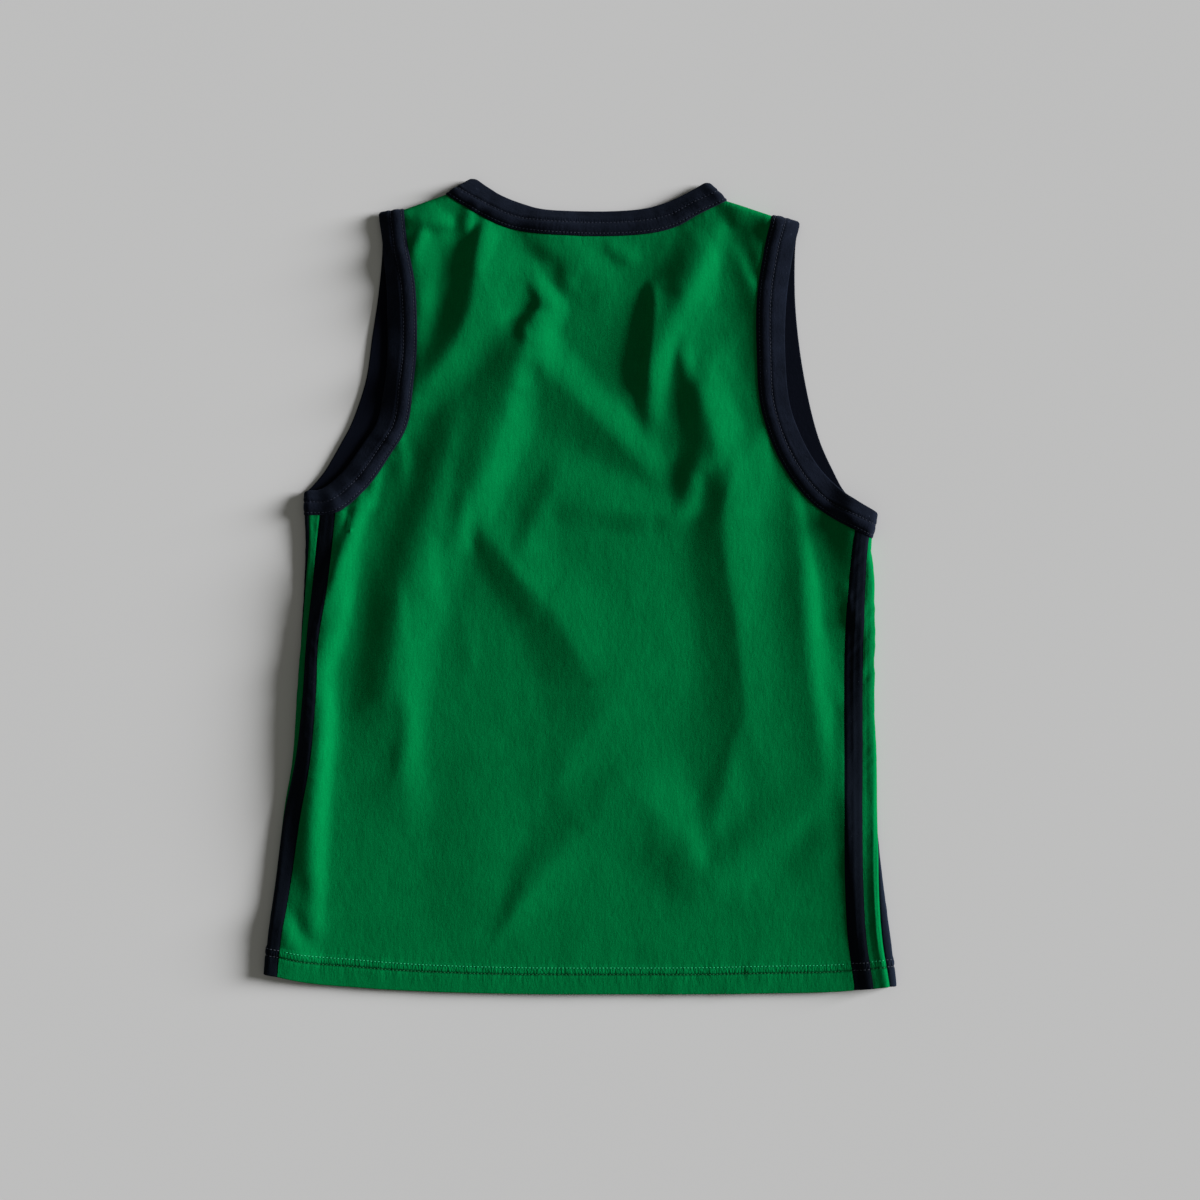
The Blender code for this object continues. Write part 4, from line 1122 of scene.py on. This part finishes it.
def drags_group():
    """The short ridges that seams and hem rows draw in the cloth beside them, as a height in millimetres, and
    how much the hem's rows of stitches, drawn in unevenly, are in shade."""
    inputs = {"Edge": None, "Hem": None, "Pull": 1.0, "Ticks": 0.0}
    n, given = new_group("Sewn drags", inputs, ("Height", "Groove"))
    places = {kind: n.scaled(given[kind], 1000.0, 1000.0, 0.0) for kind in ("Edge", "Hem")}

    def beside(kind, middle, reach, wobble=0.0):
        """1 along a row beside a seam or above the hem's edge, and soon nothing past its reach."""
        up = n.add("ShaderNodeSeparateXYZ", Vector=places[kind]).outputs["Y"]
        off = n.math("DIVIDE", n.less(n.plus(up, wobble), middle), reach)
        return n.math("EXPONENT", n.times(n.times(off, off), -1.0))

    height = 0.0
    for hem, ticks, along, across, middle, reach, high in zip(*DRAGS.values()):
        kind = "Hem" if hem else "Edge"
        wave = n.less(n.noise(n.scaled(places[kind], 1.0 / along, 1.0 / across, 1.0), 2.0), 0.5)
        wave = n.times(n.times(wave, beside(kind, middle, reach)), 4.0 * high)
        height = n.plus(height, n.times(wave, given["Ticks" if ticks else "Pull"]))
    groove = 0.0
    along = n.scaled(places["Hem"], 1.0, 0.0, 0.0)
    wobble = n.less(n.noise(n.scaled(along, 0.4, 1.0, 1.0), 3.0, 0.7), 0.5)
    wobble = n.times(wobble, 2.4)
    uneven = n.ranged(n.noise(n.scaled(places["Hem"], 0.33, 0.3, 1.0), 3.0, 0.75), 0.36, 0.60, 0.15, 1.0)
    for middle, reach, deep in zip(*GROOVES.values()):
        row = n.times(n.times(beside("Hem", middle, reach, wobble), uneven), deep)
        groove = n.plus(groove, row)
    n.add("NodeGroupOutput", Height=height, Groove=groove)
    return n.tree


KNIT = jersey_group()
SEWN = drags_group()
LINT = lint_group()

# What each jersey looks like: its colour, how uneven its yarn, dye and down are, how crumpled it is, how
# strong the drags and ticks of its seams are, how strong the painted highlight along its side fold is, then
# its lint, loops and sheen.
FINISH = "colour yarn patches down crumple pull ticks wear lint lint_colour relief sheen tint".split()
JERSEYS = {
    "green jersey": (
        (0.0003, 0.1430, 0.0370), 0.10, 0.065, 0.26, 0.60, 1.0, 0.0, 0.0, 0.10,
        (0.03, 0.30, 0.13), 0.30, 0.02, (0.0, 1.0, 0.6),
    ),
    "green jersey reverse": (
        (0.0003, 0.125, 0.033), 0.03, 0.03, 0.10, 0.2, 1.0, 0.0, 0.0, 0.0,
        (0.03, 0.30, 0.13), 0.25, 0.02, (0.0, 1.0, 0.6),
    ),
    "navy binding": (
        (0.0038, 0.0052, 0.0100), 0.14, 0.42, 0.34, 0.80, 1.0, 1.6, 0.0, 0.9,
        (0.06, 0.07, 0.10), 0.30, 0.06, (0.5, 0.65, 1.0),
    ),
    # The stripe cloth on the left, darkened with painted shade, since that side lies away from the light.
    "navy stripe in painted shade": (
        (0.0017, 0.0025, 0.0048), 0.08, 0.10, 0.24, 0.50, 1.0, 0.0, 0.0, 0.6,
        (0.05, 0.06, 0.08), 0.30, 0.06, (0.5, 0.7, 1.0),
    ),
    # The same stripe cloth on the right, lit: a lighter copy, with a painted highlight along the side fold.
    "navy stripe": (
        (0.0022, 0.0033, 0.0062), 0.10, 0.12, 0.28, 0.50, 1.0, 0.0, 2.3, 0.6,
        (0.05, 0.06, 0.08), 0.30, 0.06, (0.5, 0.7, 1.0),
    ),
    "navy reverse": (
        (0.0022, 0.0030, 0.0060), 0.05, 0.05, 0.12, 0.3, 1.0, 0.0, 0.0, 0.2,
        (0.05, 0.06, 0.08), 0.25, 0.04, (0.5, 0.6, 1.0),
    ),
}
WALE = 0.85  # from one column of loops to the next


def new_material(name):
    """A new material, its surface, and short calls for laying out its nodes."""
    made = bpy.data.materials.new(name)
    made.use_nodes = True
    return made, made.node_tree.nodes["Principled BSDF"], Nodes(made.node_tree)


def jersey(name):
    """Jersey of one colour, with its knit, uneven yarn and lint."""
    look = dict(zip(FINISH, JERSEYS[name]))
    made, shader, n = new_material(name)
    link = n.tree.links.new
    places = {}
    for kind in ("Weave", "Edge", "Hem"):
        found = n.add("ShaderNodeAttribute", {"attribute_type": "GEOMETRY", "attribute_name": kind.lower()})
        places[kind] = found.outputs["Vector"]
    weave = places.pop("Weave")
    knit = n.add(
        "ShaderNodeGroup", {"node_tree": KNIT},
        Weave=weave, Wale=WALE, Uneven_yarn=look["yarn"], Mottle=look["patches"], Down=look["down"],
        Crumple=look["crumple"], Fold_wear=look["wear"],
    )
    drawn = n.add("ShaderNodeGroup", {"node_tree": SEWN}, Pull=look["pull"], Ticks=look["ticks"], **places)
    fibres = n.add("ShaderNodeGroup", {"node_tree": LINT}, Weave=weave, Amount=look["lint"])
    # Painted shade along the hem's rows of stitches, from the drags' Groove output, darkens the colour.
    shade = n.times(knit.outputs["Shade"], n.less(1.0, drawn.outputs["Groove"]))
    mixed = n.add("ShaderNodeMix", {"data_type": "RGBA"})
    link(fibres.outputs["Mask"], mixed.inputs[0])
    link(n.dyed(look["colour"], shade), mixed.inputs[6])
    mixed.inputs[7].default_value = (*look["lint_colour"], 1.0)
    link(mixed.outputs[2], shader.inputs["Base Color"])
    loops = n.add("ShaderNodeBump", Strength=look["relief"], Distance=0.0004, Height=knit.outputs["Height"])
    creases = n.plus(drawn.outputs["Height"], knit.outputs["Creases"])
    crumpled = n.add("ShaderNodeBump", Strength=1.0, Distance=0.001, Height=creases)
    link(crumpled.outputs[0], loops.inputs["Normal"])
    link(loops.outputs[0], shader.inputs["Normal"])
    shader.inputs["Roughness"].default_value = 0.95
    shader.inputs["Specular IOR Level"].default_value = 0.005
    shader.inputs["Sheen Weight"].default_value = look["sheen"]
    shader.inputs["Sheen Roughness"].default_value = 0.6
    shader.inputs["Sheen Tint"].default_value = (*look["tint"], 1.0)
    return made


def thread(name, colour):
    """Spun sewing thread, with the dark and light of its twist."""
    made, shader, n = new_material(name)
    place = n.add("ShaderNodeTexCoord").outputs["Object"]
    ply = n.noise(n.scaled(place, 1600.0, 1600.0, 1600.0), 1.0)
    shade = n.plus(0.7, n.times(ply, 0.6))
    n.tree.links.new(n.dyed(colour, shade), shader.inputs["Base Color"])
    shader.inputs["Roughness"].default_value = 0.6
    shader.inputs["Specular IOR Level"].default_value = 0.15
    return made


def paper(name, colour):
    """Pale matt board for the floor, with a faint unevenness."""
    made, shader, n = new_material(name)
    place = n.add("ShaderNodeTexCoord").outputs["Object"]
    shade = n.plus(0.99, n.times(n.noise(n.scaled(place, 3.0, 3.0, 3.0), 2.0), 0.02))
    n.tree.links.new(n.dyed(colour, shade), shader.inputs["Base Color"])
    shader.inputs["Roughness"].default_value = 1.0
    shader.inputs["Specular IOR Level"].default_value = 0.0
    return made


# --- the garment ---

GREEN = [jersey("green jersey"), jersey("green jersey reverse")]
NAVY_REVERSE = jersey("navy reverse")
# The left stripes take the copy in painted shade, the right ones the lit copy.
STRIPES = {"left": [jersey("navy stripe in painted shade"), NAVY_REVERSE], "right": [jersey("navy stripe"), NAVY_REVERSE]}
NAVY = [jersey("navy binding"), NAVY_REVERSE]
GREEN_THREAD = thread("green thread", (0.014, 0.36, 0.15))
# The same green thread, darkened with painted shade for the lower hem row, which lies in its groove.
GREEN_THREAD_IN_PAINTED_SHADE = thread("green thread in painted shade", (0.003, 0.10, 0.030))
NAVY_THREAD = thread("navy thread", (0.014, 0.018, 0.032))
NAVY_HEM_THREAD = thread("navy hem thread", (0.042, 0.050, 0.068))

back_panel, back_rows = panel("back_panel", 1, GREEN, 20)
front_panel, front_rows = panel("front_panel", -1, GREEN, 40)
hem_on_green, hem_on_navy = back_rows + front_rows, []
pieces = {"back_panel": back_panel, "front_panel": front_panel}
for seed, side in ((60, "left"), (80, "right")):
    for kind, seams, finish, slot, rows in (
        ("back_stripe", ("back", "upper"), STRIPES[side], "navy_jersey", hem_on_navy),
        ("side_strip", ("upper", "lower"), GREEN, "green_jersey", hem_on_green),
        ("front_stripe", ("lower", "front"), STRIPES[side], "navy_jersey", hem_on_navy),
    ):
        pieces[f"{kind}_{side}"], found = side_piece(f"{kind}_{side}", side, seams, finish, seed)
        rows += found
        seed += 3
    pieces[f"armhole_binding_{side}"], rows = armhole_binding(side, NAVY, seed)
    stitches(rows, f"armhole_stitches_{side}", NAVY_THREAD, seed)
pieces["neck_binding"], rows = neck_binding(NAVY, 100)
stitches(rows, "neck_stitches", NAVY_THREAD, 101)
stitches(hem_on_green[1::2], "hem_stitches_upper", GREEN_THREAD, 102)
stitches(hem_on_green[::2], "hem_stitches_lower", GREEN_THREAD_IN_PAINTED_SHADE, 104)
stitches(hem_on_navy, "hem_stitches_navy", NAVY_HEM_THREAD, 103)

# --- floor, light and camera ---

bpy.ops.mesh.primitive_plane_add(size=6.0, location=(0.0, 0.0, -0.0004))
floor = bpy.context.object
floor.name = "floor"
floor.data.materials.append(paper("pale board", (0.62, 0.62, 0.632)))

SUN_AZIMUTH = 12.0  # degrees from +X towards +Y
SUN_ELEVATION = 15.0
lamp = bpy.data.lights.new("window light", "SUN")
lamp.energy = 8.2
lamp.angle = math.radians(22.0)
key = bpy.data.objects.new("window light", lamp)
bpy.context.scene.collection.objects.link(key)
key.rotation_euler = (math.radians(90.0 - SUN_ELEVATION), 0.0, math.radians(90.0 + SUN_AZIMUTH))

world = bpy.data.worlds.new("studio")
bpy.context.scene.world = world
world.use_nodes = True
world.node_tree.nodes["Background"].inputs["Color"].default_value = (1.0, 1.0, 0.88, 1.0)
world.node_tree.nodes["Background"].inputs["Strength"].default_value = 0.153

PIXEL = 0.84  # millimetres of cloth to a pixel of the frame
FRAME_PIXELS = 1200.0
VIEW_CENTRE = (17.2, -10.9)
LENS = 75.0
SENSOR = 36.0
CLOTH_LEVEL = 6.0  # of the upper layer, where the scale holds
lens = bpy.data.cameras.new("overhead")
lens.lens = LENS
lens.sensor_width = SENSOR
lens.clip_start = 0.01
camera = bpy.data.objects.new("overhead", lens)
bpy.context.scene.collection.objects.link(camera)
height = FRAME_PIXELS * PIXEL * LENS / SENSOR + CLOTH_LEVEL
camera.location = (VIEW_CENTRE[0] * MM, VIEW_CENTRE[1] * MM, height * MM)
bpy.context.scene.camera = camera
bpy.context.scene.view_settings.view_transform = "Standard"
